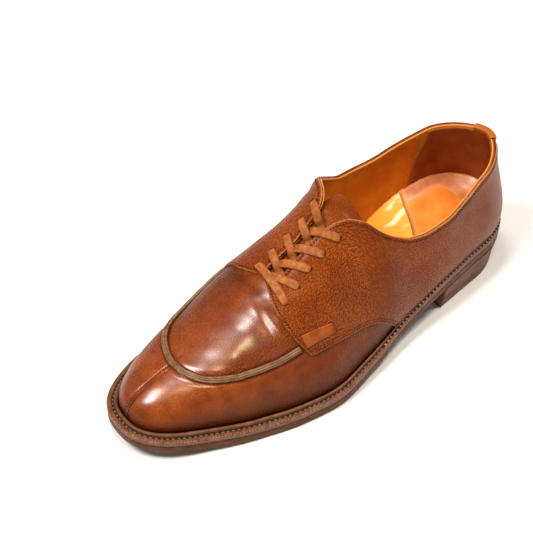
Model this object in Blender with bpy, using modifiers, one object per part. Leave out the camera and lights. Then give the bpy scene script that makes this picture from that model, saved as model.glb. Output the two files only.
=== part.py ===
"""Apron toe derby, left shoe: every piece is lofted round one last.

Lengths are in millimetres and become metres when a mesh is made. A place on the shoe is
s (from the back of the heel to the toe), y (towards the outer, lateral side) and z (up).
A station runs round one side of the shoe: 0 to 1 round the heel from its back, 1 to 2 along
the body, and 2 to 3 round the toe to its tip.
"""
import bmesh
import bpy
import numpy as np

MM = 0.001
# Clearances: between neighbours, on the sole, and under leather laid over the upper
GAP = 0.3
SEAT = 0.45
OVERLAY = 0.4
LATERAL = 1
MEDIAL = -1
SIDES = (LATERAL, MEDIAL)

# Sole
LENGTH = 308.0
HEEL_CENTRE = 38.0
TOE_CENTRE = 238.0
HEEL_ROUND = 2.2
TOE_ROUND = 2.5
SOLE = 6.2
WELT = 3.1
WELT_BEAD = 1.9
HEEL_SPINE = 18.0
TOE_SPINE = 28.0
HEEL_BREAST = 76.5
HEEL_TAPER = 0.93

# Upper; the backstay's edge is a station, and the trim's floor a share of a section
WALL = 2.2
QUARTER = 1.3
BACKSTAY = 1.7
BACKSTAY_EDGE = 0.30
BACKSTAY_CLEAR = 0.012
COLLAR_BACK = 10.5
COLLAR_BACK_Y = -1.7
COLLAR_ROUND = 1.8
THROAT = 189.0
COLLAR_END = 152.0
FACING_START = 128.0
TRIM_FLOOR = 0.3
QUARTER_SPAN = 22.0

# Raised seams and lace
PIPING_WIDTH = 3.8
PIPING_HEIGHT = 1.7
PIPING_SHOULDER = 0.75
SEAM_WIDTH = 2.0
SEAM_HEIGHT = 0.9
SEAM_FOOT = 0.135
SEAM_HEAD = 0.955
LACE_WIDTH = 4.6
LACE_THICK = 1.2
LACE_IN_GAP = 0.9
LACE_CLEAR = 2.4
LACE_EASE = 0.35
LACE_RINGS = 8
LACE_FLAT = 0.6
LACE_EDGE = 0.5
LACE_CLIMB = 2.6
EYELET_RADIUS = 1.9
EYELET_SIDES = 8
EYELET_DEPTH = 8.0
ON_FACING = OVERLAY + QUARTER + GAP + LACE_THICK / 2 + LACE_EASE
TONGUE = 2.0
TONGUE_BACK = 152.0
TONGUE_FRONT = 199.0
TONGUE_Y = 0.0
TONGUE_CLEAR = 1.0
# Rows of the upper from the sole to its edge; the second clears the welt's bead
SHARES = (0, 0.12, 0.25, 0.4, 0.55, 0.7, 0.85, 1)


def table(columns, rows):
    """Rows of numbers as named columns."""
    return dict(zip(columns.split(), np.array(rows, float).T))


# Half-width of the sole before its rounded ends
OUTLINE = table("s lateral medial", [
    (0, 30, 32.5), (40, 35, 34.5), (80, 41, 32), (115, 45.5, 25.5), (150, 54, 30.5),
    (185, 60, 46.5), (210, 57.5, 51), (240, 49.7, 47.5), (275, 40, 42.4), (308, 36, 37)])
# Height of the underside: heel seat, waist, flat tread, toe spring
TREAD = table("s z", [
    (0, 24.5), (40, 23.5), (76, 20.8), (112, 12.4), (150, 4.6), (188, 0), (230, 0),
    (262, 2.6), (285, 5.2), (308, 9.6)])
# How far the sole stands out past the upper
REACH = table("s lateral medial", [
    (0, 4, 4), (60, 4, 4), (110, 4.5, 3.5), (150, 6, 4.5), (190, 7.5, 7), (240, 8.5, 8.5),
    (308, 8.5, 8.5)])
# Thickness of the insole, built up under the heel
INSOLE = table("s thick", [
    (0, 9.5), (45, 9.5), (80, 7.5), (115, 4.5), (150, 3), (308, 3)])
# Where each section of the last ends: above the collar, then on the ridge of the foot
TOP = table("s lateral lateral_z medial medial_z", [
    (COLLAR_BACK, 20, 95, 27.5, 95), (40, 24.5, 87.7, 32, 91), (60, 29, 81.6, 36.7, 85),
    (80, 32.5, 77.7, 39.5, 79.5), (95, 32.3, 76.6, 41, 78.4), (105, 30.5, 78, 39.8, 80.5),
    (115, 27, 82.5, 36.5, 87), (125, 21.5, 91, 30.5, 96.5), (135, 8.5, 101.5, 20, 107),
    (142, -2, 102.8, 11.5, 104.5), (150, -8, 97, 8, 97), (158, -7.5, 89.2, 7.5, 89.2),
    (168, -7, 81.2, 7, 81.2), (190, -6.5, 68, 6.5, 68), (205, -5.5, 63, 5.5, 63),
    (225, -4, 57, 4, 57), (245, -2.5, 50, 2.5, 50), (266, -1, 42.5, 1, 42.5),
    (308, 1, 33, -1, 33)])
# Fullness of each section: how far it leans out and climbs at the sole, and at its top
LATERAL_FORM = table("s out climb spread fall", [
    (0, 6.5, 18, 1, 20), (8, 6.5, 18, 1, 20), (40, 5, 18, 1, 20), (100, 5, 16, 2, 20),
    (130, 6, 18, 12, 12), (150, 6, 20, 26, 5), (190, 6, 20.5, 37, 2.5), (215, 5, 20.5, 40, 0.5),
    (240, 4, 18.5, 37, 0), (295, 3.5, 14.5, 32, 0), (308, 3.5, 14.5, 32, 0)])
MEDIAL_FORM = table("s out climb spread fall", [
    (0, 6.5, 18, 1, 20), (8, 6.5, 18, 1, 20), (40, 6, 18, 1, 20), (100, 10, 16, 2, 20),
    (130, 11, 22, 14, 12), (150, 10, 28, 34, 5), (190, 8, 28, 41, 2.5), (215, 6, 24, 37, 1),
    (240, 4.5, 19, 34, 0), (295, 3.5, 14.5, 32, 0), (308, 3.5, 14.5, 32, 0)])
# Height of the collar
COLLAR = table("s lateral medial", [
    (0, 95, 95), (13, 95, 95), (40, 87.5, 90.8), (60, 81.4, 84.8), (80, 77.4, 79.2),
    (95, 75.9, 77.8), (105, 76.5, 79), (118, 81.9, 87), (127, 88.5, 95.5), (134, 94.8, 102.5),
    (139, 98.6, 106), (145, 100.3, 107), (160, 101, 107)])
# Distance of each facing's edge from the middle line
FACING = table("s lateral medial", [
    (128, 8, 14), (134, 10, 16), (139, 11.5, 15), (142.2, 9, 11), (146.8, 6, 8), (151.6, 3, 6.6),
    (155.4, 1, 6), (164, 0.6, 6.6), (175, 1, 7.8), (186, 1.5, 9), (189, -4, 8)])
# Outline of the quarters seen from the side, from the welt to the throat
LATERAL_QUARTER = table("s z", [
    (118, 8), (125, 20.4), (134, 30), (145, 36.4), (160, 39), (177, 39.5), (186, 39.2),
    (194.6, 38.9), (198.4, 44), (200.8, 48.5), (202, 54), (201.9, 58.5), (199.5, 62.4),
    (194, 66.5), (186, 71)])
MEDIAL_QUARTER = table("s z", [
    (120, 8), (127, 20), (138, 28), (148, 32), (160, 35.5), (172, 38.5), (182, 39.5),
    (192.1, 38.7), (195.5, 44.5), (196.8, 51), (197.4, 57), (198, 61.3), (197, 63.6),
    (193, 67), (186, 71)])
# Middle line of the apron's piping seen from above, from the quarters to the tip of the toe
APRON = table("turn lateral lateral_y medial medial_y", [
    (0, 200.5, 37.8, 197, 41.3), (0.17, 213, 37.2, 212, 40), (0.33, 226, 34.8, 226, 37),
    (0.47, 238, 31, 238, 33.3), (0.6, 249, 26, 248, 29.2), (0.72, 257, 20.3, 256, 22.8),
    (0.82, 262, 13.8, 261.5, 14.5), (0.92, 265, 6, 264.8, 6), (1, 265.7, -1, 265.7, 1)])
APRON_POINTS = 24
# Eyelets from the throat up, as places seen from above
EYELETS = table("lateral lateral_y medial medial_y", [
    (194, 15.2, 190.4, 15), (182.7, 12.5, 179.5, 15), (171.9, 10.5, 168.5, 13.8),
    (161.3, 10.2, 158, 13.2), (149.9, 10.6, 148.4, 13.4)])
# Where each strip of the lace comes up through the gap, ahead of its own eyelet
LACE_LEAD = table("lateral medial", [(3.2, 4.6), (5, 8), (5, 8.5), (4.5, 8.5)])
# The tongue's free end, carried back from its last section
TONGUE_END = table("back up", [(6, 3), (14, 4.8), (22, 4.5)])
TONGUE_HALF = table("s half", [(130, 15), (152, 16), (180, 17), (199, 15)])

# Block that a quarter is cut with, past the shoe on every side but its outline
CUTTER_REACH = 90.0
CUTTER_BACK = -20.0
CUTTER_ROOF = 130.0
CUTTER_INNER = {LATERAL: -12.0, MEDIAL: 6.0}

SIDE_NAME = {LATERAL: "lateral", MEDIAL: "medial"}
FORM = {LATERAL: LATERAL_FORM, MEDIAL: MEDIAL_FORM}

# Colour (linear), roughness
FINISHES = {
    "sole_leather": ((0.055, 0.022, 0.010), 0.55),
    "heel_leather": ((0.042, 0.018, 0.009), 0.5),
    "welt_leather": ((0.120, 0.045, 0.018), 0.5),
    "insole_leather": ((0.560, 0.235, 0.070), 0.5),
    "calf_smooth": ((0.230, 0.062, 0.014), 0.35),
    "calf_grain": ((0.215, 0.058, 0.013), 0.42),
    "calf_edge": ((0.300, 0.100, 0.026), 0.42),
    "piping_leather": ((0.085, 0.042, 0.018), 0.45),
    "lace_cotton": ((0.330, 0.110, 0.036), 0.7),
}


# The last

def curve(rows, column, at, key="s"):
    """A smooth curve through a table's column, with no overshoot."""
    x, y = rows[key], rows[column]
    step = np.diff(x)
    slope = np.diff(y) / step
    tangent = np.concatenate([slope[:1], np.zeros(len(x) - 2), slope[-1:]])
    same = slope[:-1] * slope[1:] > 0
    steep = 2 * slope[:-1] * slope[1:] / np.where(same, slope[:-1] + slope[1:], 1)
    tangent[1:-1] = np.where(same, steep, 0)
    at = np.asarray(at, float)
    k = np.clip(np.searchsorted(x, at, side="right") - 1, 0, len(step) - 1)
    t = np.clip((at - x[k]) / step[k], -1, 2)
    h = step[k]
    return ((1 + 2 * t) * (1 - t) ** 2 * y[k] + t * (1 - t) ** 2 * h * tangent[k]
            + t ** 2 * (3 - 2 * t) * y[k + 1] + t ** 2 * (t - 1) * h * tangent[k + 1])


def body_station(s):
    """Station of a place along the body."""
    return 1 + (np.asarray(s, float) - HEEL_CENTRE) / (TOE_CENTRE - HEEL_CENTRE)


def turn(station):
    """Share of the way out along the rounded heel and toe: heel, body, toe."""
    station = np.asarray(station, float)
    heel = np.cos(np.clip(station, 0, 1) * np.pi / 2).clip(0) ** (2 / HEEL_ROUND)
    body = np.clip(station - 1, 0, 1)
    toe = np.sin(np.clip(station - 2, 0, 1) * np.pi / 2).clip(0) ** (2 / TOE_ROUND)
    return heel, body, toe


def along(station, heel_end, toe_end):
    """Distance from the back for a line whose ends lie at heel_end and toe_end."""
    heel, body, toe = turn(station)
    middle = HEEL_CENTRE + (TOE_CENTRE - HEEL_CENTRE) * body
    return middle - (HEEL_CENTRE - heel_end) * heel + (toe_end - TOE_CENTRE) * toe


def outline(station, side):
    """Edge of the sole seen from above."""
    heel, _, toe = turn(station)
    s = along(station, 0, LENGTH)
    cap = (1 - heel ** HEEL_ROUND).clip(0) ** (1 / HEEL_ROUND)
    cap = cap * (1 - toe ** TOE_ROUND).clip(0) ** (1 / TOE_ROUND)
    return np.stack([s, side * curve(OUTLINE, SIDE_NAME[side], s) * cap], -1)


def inset(station, side, amount):
    """The sole's edge moved in by an amount, square to itself."""
    station = np.asarray(station, float)
    small = 1e-3
    before = outline(np.clip(station - small, 0, 3), side)
    after = outline(np.clip(station + small, 0, 3), side)
    run = after - before
    run = run / np.linalg.norm(run, axis=-1, keepdims=True)
    inward = np.stack([run[..., 1], -run[..., 0]], -1) * side
    inward = np.where((station <= 0)[..., None], (1, 0), inward)
    inward = np.where((station >= 3)[..., None], (-1, 0), inward)
    return outline(station, side) + inward * np.asarray(amount)[..., None]


def reach(station, side):
    """Width of the welt beside the upper."""
    return curve(REACH, SIDE_NAME[side], along(station, 0, LENGTH))


def tread(s):
    """Height of the sole's underside."""
    return curve(TREAD, "z", s)


def feather(station, side):
    """Foot of the upper's outer face, on the sole."""
    edge = inset(station, side, reach(station, side))
    return np.concatenate([edge, (tread(edge[..., 0]) + SOLE + SEAT)[..., None]], -1)


def crest(station, side):
    """Top of each section of the last."""
    name = SIDE_NAME[side]
    heel = turn(station)[0]
    s = along(station, COLLAR_BACK, TOE_CENTRE + TOE_SPINE)
    cap = (1 - heel ** COLLAR_ROUND).clip(0) ** (1 / COLLAR_ROUND)
    y = side * curve(TOP, name, s) * cap + COLLAR_BACK_Y * (1 - cap)
    return np.stack([s, y, curve(TOP, name + "_z", s)], -1)


def skin(station, share, side):
    """Outer face of the upper: a station round the shoe and a share of its section."""
    station, share = np.broadcast_arrays(np.asarray(station, float), np.asarray(share, float))
    low, high = feather(station, side), crest(station, side)
    out, climb, spread, fall = (curve(FORM[side], name, low[..., 0])
                                for name in ("out", "climb", "spread", "fall"))
    toe = low[..., :2] - high[..., :2]
    toe = toe / np.linalg.norm(toe, axis=-1, keepdims=True).clip(1e-9)
    angle = np.clip(station, 0, 1) * np.pi / 2
    heel = np.stack([-np.cos(angle), side * np.sin(angle)], -1)
    away = np.where(station[..., None] > 2, toe, heel)
    near_low = low + np.concatenate([away * out[..., None], climb[..., None]], -1)
    near_high = high + np.concatenate([away * spread[..., None], -fall[..., None]], -1)
    ridge = curve(TOP, "lateral_z", near_high[..., 0]) - curve(TOP, "lateral_z", high[..., 0])
    near_high[..., 2] += np.where(station > 2, ridge, 0)
    v = share[..., None]
    return ((1 - v) ** 3 * low + 3 * (1 - v) ** 2 * v * near_low
            + 3 * (1 - v) * v ** 2 * near_high + v ** 3 * high)


def normal(station, share, side):
    """Outward direction of the skin; both sides agree where they meet."""
    small = 2e-3
    station, share = np.broadcast_arrays(np.asarray(station, float), np.asarray(share, float))
    total = 0
    for part in (side, -side):
        run = (skin(np.clip(station + small, 0, 3), share, part)
               - skin(np.clip(station - small, 0, 3), share, part))
        rise = (skin(station, np.clip(share + small, 0, 1), part)
                - skin(station, np.clip(share - small, 0, 1), part))
        out = np.cross(rise, run) * part
        out = out / np.linalg.norm(out, axis=-1, keepdims=True)
        meets = (station <= 0) | (station >= 3)
        total = total + out * np.where(meets | (part == side), 1, 0)[..., None]
    return total / np.linalg.norm(total, axis=-1, keepdims=True)


def lift(station, share, side, height):
    """A point at a height over the skin."""
    out = normal(station, share, side)
    return skin(station, share, side) + out * np.asarray(height)[..., None]


def bisect(outside, low, high, rounds=30):
    """The share between low and high where outside turns true."""
    for _ in range(rounds):
        middle = (low + high) / 2
        past = outside(middle)
        low, high = np.where(past, low, middle), np.where(past, middle, high)
    return (low + high) / 2


def trim(station, side):
    """Share of each section below the collar and beside the lacing gap."""
    station = np.asarray(station, float)
    name = SIDE_NAME[side]

    def open_at(share):
        s, y, z = np.moveaxis(skin(station, share, side), -1, 0)
        collar = (z > curve(COLLAR, name, s)) & (s < COLLAR_END)
        gap = (side * y < curve(FACING, name, s)) & (s > FACING_START) & (s < THROAT)
        return collar | gap

    shares = np.linspace(TRIM_FLOOR, 1, 141)
    found = np.array([open_at(np.full(station.shape, share)) for share in shares])
    first = np.where(found.any(0), found.argmax(0), len(shares) - 1)
    low = np.where(first > 0, shares[first - 1], TRIM_FLOOR)
    edge = bisect(open_at, low, shares[first])
    return np.where(found.any(0), edge, 1.0)


def share_at(s, y, side):
    """Share of the section at s where the skin passes over y."""
    station = body_station(s)
    return bisect(lambda share: side * skin(station, share, side)[..., 1] < y, TRIM_FLOOR, 1.0)


def toe_place(s, y, side):
    """Station and share of the skin over a place on the vamp, seen from above."""
    place = np.array([s, y])

    def from_crest(station):
        low, high = feather(station, side)[:2], crest(station, side)[:2]
        away = (low - high) / np.linalg.norm(low - high)
        return place - high, away, high

    def past(station):
        ahead, away, _ = from_crest(station)
        return side * (away[0] * ahead[1] - away[1] * ahead[0]) > 0

    if s < TOE_CENTRE:
        return body_station(s), share_at(s, side * y, side)
    station = bisect(past, 2.0, 3.0)
    ahead, away, high = from_crest(station)
    reached = ahead @ away
    share = bisect(lambda v: (skin(station, v, side)[:2] - high) @ away < reached, 0.2, 1.0)
    return station, share


# Making meshes

def ring_stations():
    """Stations round one side, closest at the facing's corner and round the ends."""
    body = [(HEEL_CENTRE, 126, 9), (126, 158, 9), (158, THROAT, 5), (THROAT, TOE_CENTRE, 6)]
    runs = [np.linspace(0, 1, 7)[:-1]]
    runs += [np.linspace(body_station(a), body_station(b), n + 1)[:-1] for a, b, n in body]
    return np.concatenate(runs + [np.linspace(2, 3, 11)])


RING = ring_stations()
ORIGIN = np.array([LENGTH / 2, (outline(RING, LATERAL)[:, 1].max()
                                + outline(RING, MEDIAL)[:, 1].min()) / 2, 0])


def metres(points):
    """Points in the part's own frame, in metres."""
    return (np.asarray(points, float) - ORIGIN) * MM


def add_grid(mesh, points, flip=False):
    """Quads over a grid of points."""
    rows = [[mesh.verts.new(point) for point in row] for row in metres(points)]
    for low, high in zip(rows, rows[1:]):
        for k in range(len(low) - 1):
            corners = (low[k], low[k + 1], high[k + 1], high[k])
            mesh.faces.new(corners[::-1] if flip else corners)


def finish_object(mesh, name, finish, closed=True):
    """Weld a mesh and make it an object of the shoe."""
    bmesh.ops.remove_doubles(mesh, verts=mesh.verts, dist=1e-6)
    bmesh.ops.dissolve_degenerate(mesh, edges=mesh.edges, dist=1e-6)
    if closed:
        bmesh.ops.recalc_face_normals(mesh, faces=mesh.faces)
    data = bpy.data.meshes.new(name)
    mesh.to_mesh(data)
    mesh.free()
    data.shade_smooth()
    item = bpy.data.objects.new(name, data)
    if finish:
        data.materials.append(MATERIALS[finish])
    (SHOE if finish else CUTTERS).objects.link(item)
    if not finish:
        item.hide_render = True
        item.display_type = "WIRE"
    return item


def material(name, colour, roughness):
    """A plain finish."""
    made = bpy.data.materials.new(name)
    made.use_nodes = True
    shader = made.node_tree.nodes["Principled BSDF"]
    shader.inputs["Base Color"].default_value = (*colour, 1)
    shader.inputs["Roughness"].default_value = roughness
    shader.inputs["Metallic"].default_value = 0
    return made


def thicken(item, thickness, offset):
    """A shell from a sheet: offset -1 grows inward, 1 outward."""
    shell = item.modifiers.new("wall", "SOLIDIFY")
    shell.thickness = thickness * MM
    shell.offset = offset
    shell.use_even_offset = False


def cut(item, cutter, operation):
    """Keep or take away what a cutter covers."""
    step = item.modifiers.new(cutter.name, "BOOLEAN")
    step.operation = operation
    step.object = cutter


def plate(mesh, stations, low_edge, high_edge, low_z, high_z, spine, closed_front=False):
    """A slab between two heights, with an edge for each side as a function of station."""
    shares = np.linspace(0, 1, 3)[None, :, None]
    for side in SIDES:
        middle = spine(stations)[:, None, :]
        faces = []
        for edge, height in ((low_edge, low_z), (high_edge, high_z)):
            flat = middle + (edge(stations, side)[:, None, :] - middle) * shares
            faces.append(np.concatenate([flat, height(flat)[..., None]], -1))
        for face in faces:
            add_grid(mesh, face)
        add_grid(mesh, np.stack([faces[0][:, -1], faces[1][:, -1]], 1))
        if closed_front:
            add_grid(mesh, np.stack([faces[0][-1], faces[1][-1]], 0))


def spine(stations):
    """Middle line of the sole, which the rounded ends fan out from."""
    s = along(stations, HEEL_SPINE, TOE_CENTRE + TOE_SPINE)
    return np.stack([s, np.zeros_like(s)], -1)


def sweep(mesh, path, up, section):
    """A closed section (across, up) carried along a path, with flat ends."""
    run = np.gradient(path, axis=0)
    across = np.cross(run, up)
    across = across / np.linalg.norm(across, axis=1, keepdims=True)
    rings = (path[:, None, :] + across[:, None, :] * section[None, :, :1]
             + up[:, None, :] * section[None, :, 1:])
    rows = [[mesh.verts.new(point) for point in ring] for ring in metres(rings)]
    count = len(section)
    for low, high in zip(rows, rows[1:]):
        for k in range(count):
            mesh.faces.new((low[k], low[(k + 1) % count], high[(k + 1) % count], high[k]))
    mesh.faces.new(rows[0])
    mesh.faces.new(rows[-1][::-1])


# Sole pieces

def make_outsole():
    mesh = bmesh.new()
    plate(mesh, RING, outline, outline, lambda p: tread(p[..., 0]),
          lambda p: tread(p[..., 0]) + SOLE, spine)
    finish_object(mesh, "outsole", "sole_leather")


def make_heel():
    stations = np.concatenate([np.linspace(0, 1, 9)[:-1],
                               np.linspace(1, body_station(HEEL_BREAST), 8)])

    def tapered(station, side):
        edge = outline(station, side)
        ahead = edge[..., :1] > HEEL_CENTRE
        back = HEEL_CENTRE + (edge[..., :1] - HEEL_CENTRE) * HEEL_TAPER
        return np.concatenate([np.where(ahead, edge[..., :1], back),
                               edge[..., 1:] * HEEL_TAPER], -1)

    mesh = bmesh.new()
    plate(mesh, stations, tapered, outline, lambda p: np.zeros(p.shape[:-1]),
          lambda p: tread(p[..., 0]) - GAP, spine, closed_front=True)
    finish_object(mesh, "heel", "heel_leather")


def make_insole():
    def edge(station, side):
        return inset(station, side, reach(station, side) + WALL + 2 * GAP)

    mesh = bmesh.new()
    plate(mesh, RING, edge, edge,
          lambda p: tread(p[..., 0]) + SOLE + SEAT,
          lambda p: tread(p[..., 0]) + SOLE + SEAT + curve(INSOLE, "thick", p[..., 0]), spine)
    finish_object(mesh, "insole", "insole_leather")


def make_welt():
    """Storm welt: a bead beside the upper, a groove and a flat rim to the sole's edge."""
    # share of the welt's width from the upper, height over the sole
    section = ((0.0, 0.0), (1.0, 0.0), (1.0, WELT - 0.5), (0.92, WELT), (0.58, WELT),
               (0.5, WELT - 0.8), (0.42, WELT + 0.4), (0.26, WELT + WELT_BEAD),
               (0.06, WELT + WELT_BEAD - 0.3))
    mesh = bmesh.new()
    rings = []
    for side in SIDES:
        stations = RING if side == LATERAL else RING[-2:0:-1]
        edge = outline(stations, side)
        width = reach(stations, side)
        inward = (inset(stations, side, width) - edge) / width[:, None]
        points = []
        for out, height in section:
            share = height / (3 * curve(FORM[side], "climb", edge[:, 0]))
            wall = skin(stations, share, side)
            lean = ((feather(stations, side) - wall)[:, :2] * inward).sum(1).clip(0)
            inner = width - 2 * GAP - lean
            flat = edge + inward * (inner * (1 - out))[:, None]
            z = tread(flat[:, 0]) + SOLE + SEAT + height
            points.append(np.concatenate([flat, z[:, None]], 1))
        rings.append(np.stack(points, 1))
    loop = np.concatenate(rings)
    loop = np.concatenate([loop, loop[:1]])
    add_grid(mesh, np.concatenate([loop, loop[:, :1]], 1))
    finish_object(mesh, "welt", "welt_leather")


# Upper pieces

def shares_up(stations, side, first=0):
    """Shares of each section up to the upper's edge, from one of its rows."""
    return trim(stations, side)[:, None] * np.array(SHARES[first:])


def make_upper():
    mesh = bmesh.new()
    for side in SIDES:
        shares = shares_up(RING, side)
        add_grid(mesh, skin(RING[:, None], shares, side), flip=side == MEDIAL)
    upper = finish_object(mesh, "upper", "calf_smooth", closed=False)
    thicken(upper, WALL, -1)
    cut(upper, EYELET_CUTTER, "DIFFERENCE")


def side_cutter(name, rows, side):
    """A block that covers a quarter seen from the side, inside its outline."""
    edge = list(zip(rows["s"], rows["z"]))
    around = edge + [(edge[-1][0], CUTTER_ROOF), (CUTTER_BACK, CUTTER_ROOF),
                     (CUTTER_BACK, edge[0][1])]
    points = [[(s, y, z) for s, z in around] for y in (CUTTER_INNER[side], side * CUTTER_REACH)]
    mesh = bmesh.new()
    rows_made = [[mesh.verts.new(point) for point in metres(row)] for row in points]
    count = len(around)
    for k in range(count):
        after = (k + 1) % count
        mesh.faces.new((rows_made[0][k], rows_made[0][after], rows_made[1][after], rows_made[1][k]))
    for row in rows_made:
        mesh.faces.new(row)
    return finish_object(mesh, name, None)


def make_quarters():
    for side, rows in ((LATERAL, LATERAL_QUARTER), (MEDIAL, MEDIAL_QUARTER)):
        name = "quarter_" + SIDE_NAME[side]
        stations = RING[(RING >= BACKSTAY_EDGE) & (RING <= body_station(THROAT + QUARTER_SPAN))]
        stations = np.concatenate([[BACKSTAY_EDGE], stations])
        shares = shares_up(stations, side, first=1)
        mesh = bmesh.new()
        add_grid(mesh, lift(stations[:, None], shares, side, OVERLAY), flip=side == MEDIAL)
        quarter = finish_object(mesh, name, "calf_grain", closed=False)
        thicken(quarter, QUARTER, 1)
        cut(quarter, side_cutter(name + "_outline", rows, side), "INTERSECT")
        cut(quarter, EYELET_CUTTER, "DIFFERENCE")


def make_backstay():
    stations = np.append(RING[RING < BACKSTAY_EDGE], BACKSTAY_EDGE - BACKSTAY_CLEAR)
    mesh = bmesh.new()
    for side in SIDES:
        shares = shares_up(stations, side, first=1)
        add_grid(mesh, lift(stations[:, None], shares, side, OVERLAY), flip=side == MEDIAL)
    stay = finish_object(mesh, "backstay", "calf_edge", closed=False)
    thicken(stay, BACKSTAY, 1)


def make_apron_piping():
    turns = np.linspace(0, 1, APRON_POINTS)
    path, up = [], []
    for side, order in ((LATERAL, turns), (MEDIAL, turns[-2::-1])):
        name = SIDE_NAME[side]
        for turned in order:
            s = curve(APRON, name, turned, key="turn")
            y = curve(APRON, name + "_y", turned, key="turn")
            station, share = toe_place(s, side * y, side)
            path.append(lift(station, share, side, GAP))
            up.append(normal(station, share, side))
    half = PIPING_WIDTH / 2
    shoulder = (PIPING_SHOULDER * half, PIPING_SHOULDER * PIPING_HEIGHT)
    section = np.array([(-half, 0), (half, 0), shoulder, (0, PIPING_HEIGHT),
                        (-shoulder[0], shoulder[1])])
    mesh = bmesh.new()
    sweep(mesh, np.array(path), np.array(up), section)
    finish_object(mesh, "apron_piping", "piping_leather")


def make_toe_seam():
    shares = np.linspace(SEAM_FOOT, SEAM_HEAD, 9)
    stations = np.full(len(shares), 3.0)
    half = SEAM_WIDTH / 2
    section = np.array([(-half, 0), (half, 0), (0, SEAM_HEIGHT)])
    mesh = bmesh.new()
    up = normal(stations, shares, LATERAL)
    up[:, 1] = 0
    up = up / np.linalg.norm(up, axis=1, keepdims=True)
    sweep(mesh, skin(stations, shares, LATERAL) + up * GAP, up, section)
    finish_object(mesh, "toe_seam", "calf_smooth")


def make_tongue():
    along_foot = np.linspace(TONGUE_FRONT, TONGUE_BACK, 9)
    across = np.linspace(-1, 1, 9)
    rows = []
    for s in along_foot:
        row = []
        for part in across:
            y = TONGUE_Y + part * curve(TONGUE_HALF, "half", s)
            ridge = crest(body_station(s), LATERAL)[1]
            side = LATERAL if y > ridge else MEDIAL
            share = share_at(s, side * y, side)
            row.append(lift(body_station(s), share, side, -(WALL + TONGUE_CLEAR)))
        rows.append(row)
    last = np.array(rows[-1])
    for back, up in zip(TONGUE_END["back"], TONGUE_END["up"]):
        rows.append(last + (-back, 0, up))
    mesh = bmesh.new()
    add_grid(mesh, np.array(rows))
    tongue = finish_object(mesh, "tongue", "calf_grain", closed=False)
    thicken(tongue, TONGUE, -1)


# Laces

def eyelet(row, side):
    """Station and share of an eyelet."""
    s = EYELETS[SIDE_NAME[side]][row]
    return body_station(s), share_at(s, EYELETS[SIDE_NAME[side] + "_y"][row], side)


def make_eyelet_cutter():
    mesh = bmesh.new()
    turns = np.arange(EYELET_SIDES) * 2 * np.pi / EYELET_SIDES
    for side in SIDES:
        for row in range(len(EYELETS["lateral"])):
            station, share = eyelet(row, side)
            centre, up = skin(station, share, side), normal(station, share, side)
            run = np.cross(up, (0, 1, 0))
            run = run / np.linalg.norm(run)
            across = np.cross(up, run)
            ring = EYELET_RADIUS * (np.cos(turns)[:, None] * run + np.sin(turns)[:, None] * across)
            rings = [[mesh.verts.new(p) for p in metres(centre + ring + up * height)]
                     for height in (-EYELET_DEPTH, EYELET_DEPTH)]
            for k in range(EYELET_SIDES):
                after = (k + 1) % EYELET_SIDES
                mesh.faces.new((rings[0][k], rings[0][after], rings[1][after], rings[1][k]))
            for ends in rings:
                mesh.faces.new(ends)
    return finish_object(mesh, "eyelet_cutters", None)


def lace_strip(mesh, places, heights):
    """A flat strip over places (s, y) at heights above the skin."""
    path, up = [], []
    for (s, y), height in zip(places, heights):
        ridge = crest(body_station(s), LATERAL)[1]
        side = LATERAL if y > ridge else MEDIAL
        station, share = body_station(s), share_at(s, side * y, side)
        out = normal(station, share, side)
        path.append(skin(station, share, side) + out * height)
        up.append(out)
    half, thick = LACE_WIDTH / 2, LACE_THICK / 2
    flat, edge = LACE_FLAT * half, LACE_EDGE * thick
    section = np.array([(-half, -edge), (-flat, -thick), (flat, -thick), (half, -edge),
                        (half, edge), (flat, thick), (-flat, thick), (-half, edge)])
    sweep(mesh, np.array(path), np.array(up), section)


def eyelet_place(row, side):
    """An eyelet seen from above."""
    name = SIDE_NAME[side]
    return np.array([EYELETS[name][row], side * EYELETS[name + "_y"][row]])


def make_lace_bar():
    start, end = eyelet_place(0, MEDIAL), eyelet_place(0, LATERAL)
    shares = np.linspace(0, 1, LACE_RINGS)
    places = [start + (end - start) * share for share in shares]
    mesh = bmesh.new()
    lace_strip(mesh, places, [ON_FACING] * len(shares))
    finish_object(mesh, "lace_bar", "lace_cotton")


def crossing_strip(mesh, row, side):
    """From the far facing's edge, up out of the gap and over to the eyelet."""
    end = eyelet_place(row, side)
    s = end[0] + LACE_LEAD[SIDE_NAME[side]][row - 1]
    other = SIDE_NAME[-side]
    start = np.array([s, -side * (curve(FACING, other, s) - LACE_CLEAR)])
    shares = np.linspace(0, 1, LACE_RINGS)
    heights = ON_FACING - (ON_FACING - LACE_IN_GAP) * (1 - shares * LACE_CLIMB).clip(0)
    lace_strip(mesh, [start + (end - start) * share for share in shares], heights)


def make_lace_crossing(row):
    name = "lace_cross_%d" % row
    over = bmesh.new()
    crossing_strip(over, row, MEDIAL)
    crossing = finish_object(over, name, "lace_cotton")
    under = bmesh.new()
    crossing_strip(under, row, LATERAL)
    cut(crossing, finish_object(under, name + "_lower", None), "UNION")


for existing in list(bpy.data.objects):
    bpy.data.objects.remove(existing, do_unlink=True)
SHOE = bpy.data.collections.new("apron_toe_derby")
CUTTERS = bpy.data.collections.new("cutters")
bpy.context.scene.collection.children.link(SHOE)
bpy.context.scene.collection.children.link(CUTTERS)
MATERIALS = {name: material(name, *finish) for name, finish in FINISHES.items()}

EYELET_CUTTER = make_eyelet_cutter()
make_outsole()
make_heel()
make_insole()
make_welt()
make_upper()
make_quarters()
make_backstay()
make_apron_piping()
make_toe_seam()
make_tongue()
make_lace_bar()
for crossing_row in range(1, len(EYELETS["lateral"])):
    make_lace_crossing(crossing_row)
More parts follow.
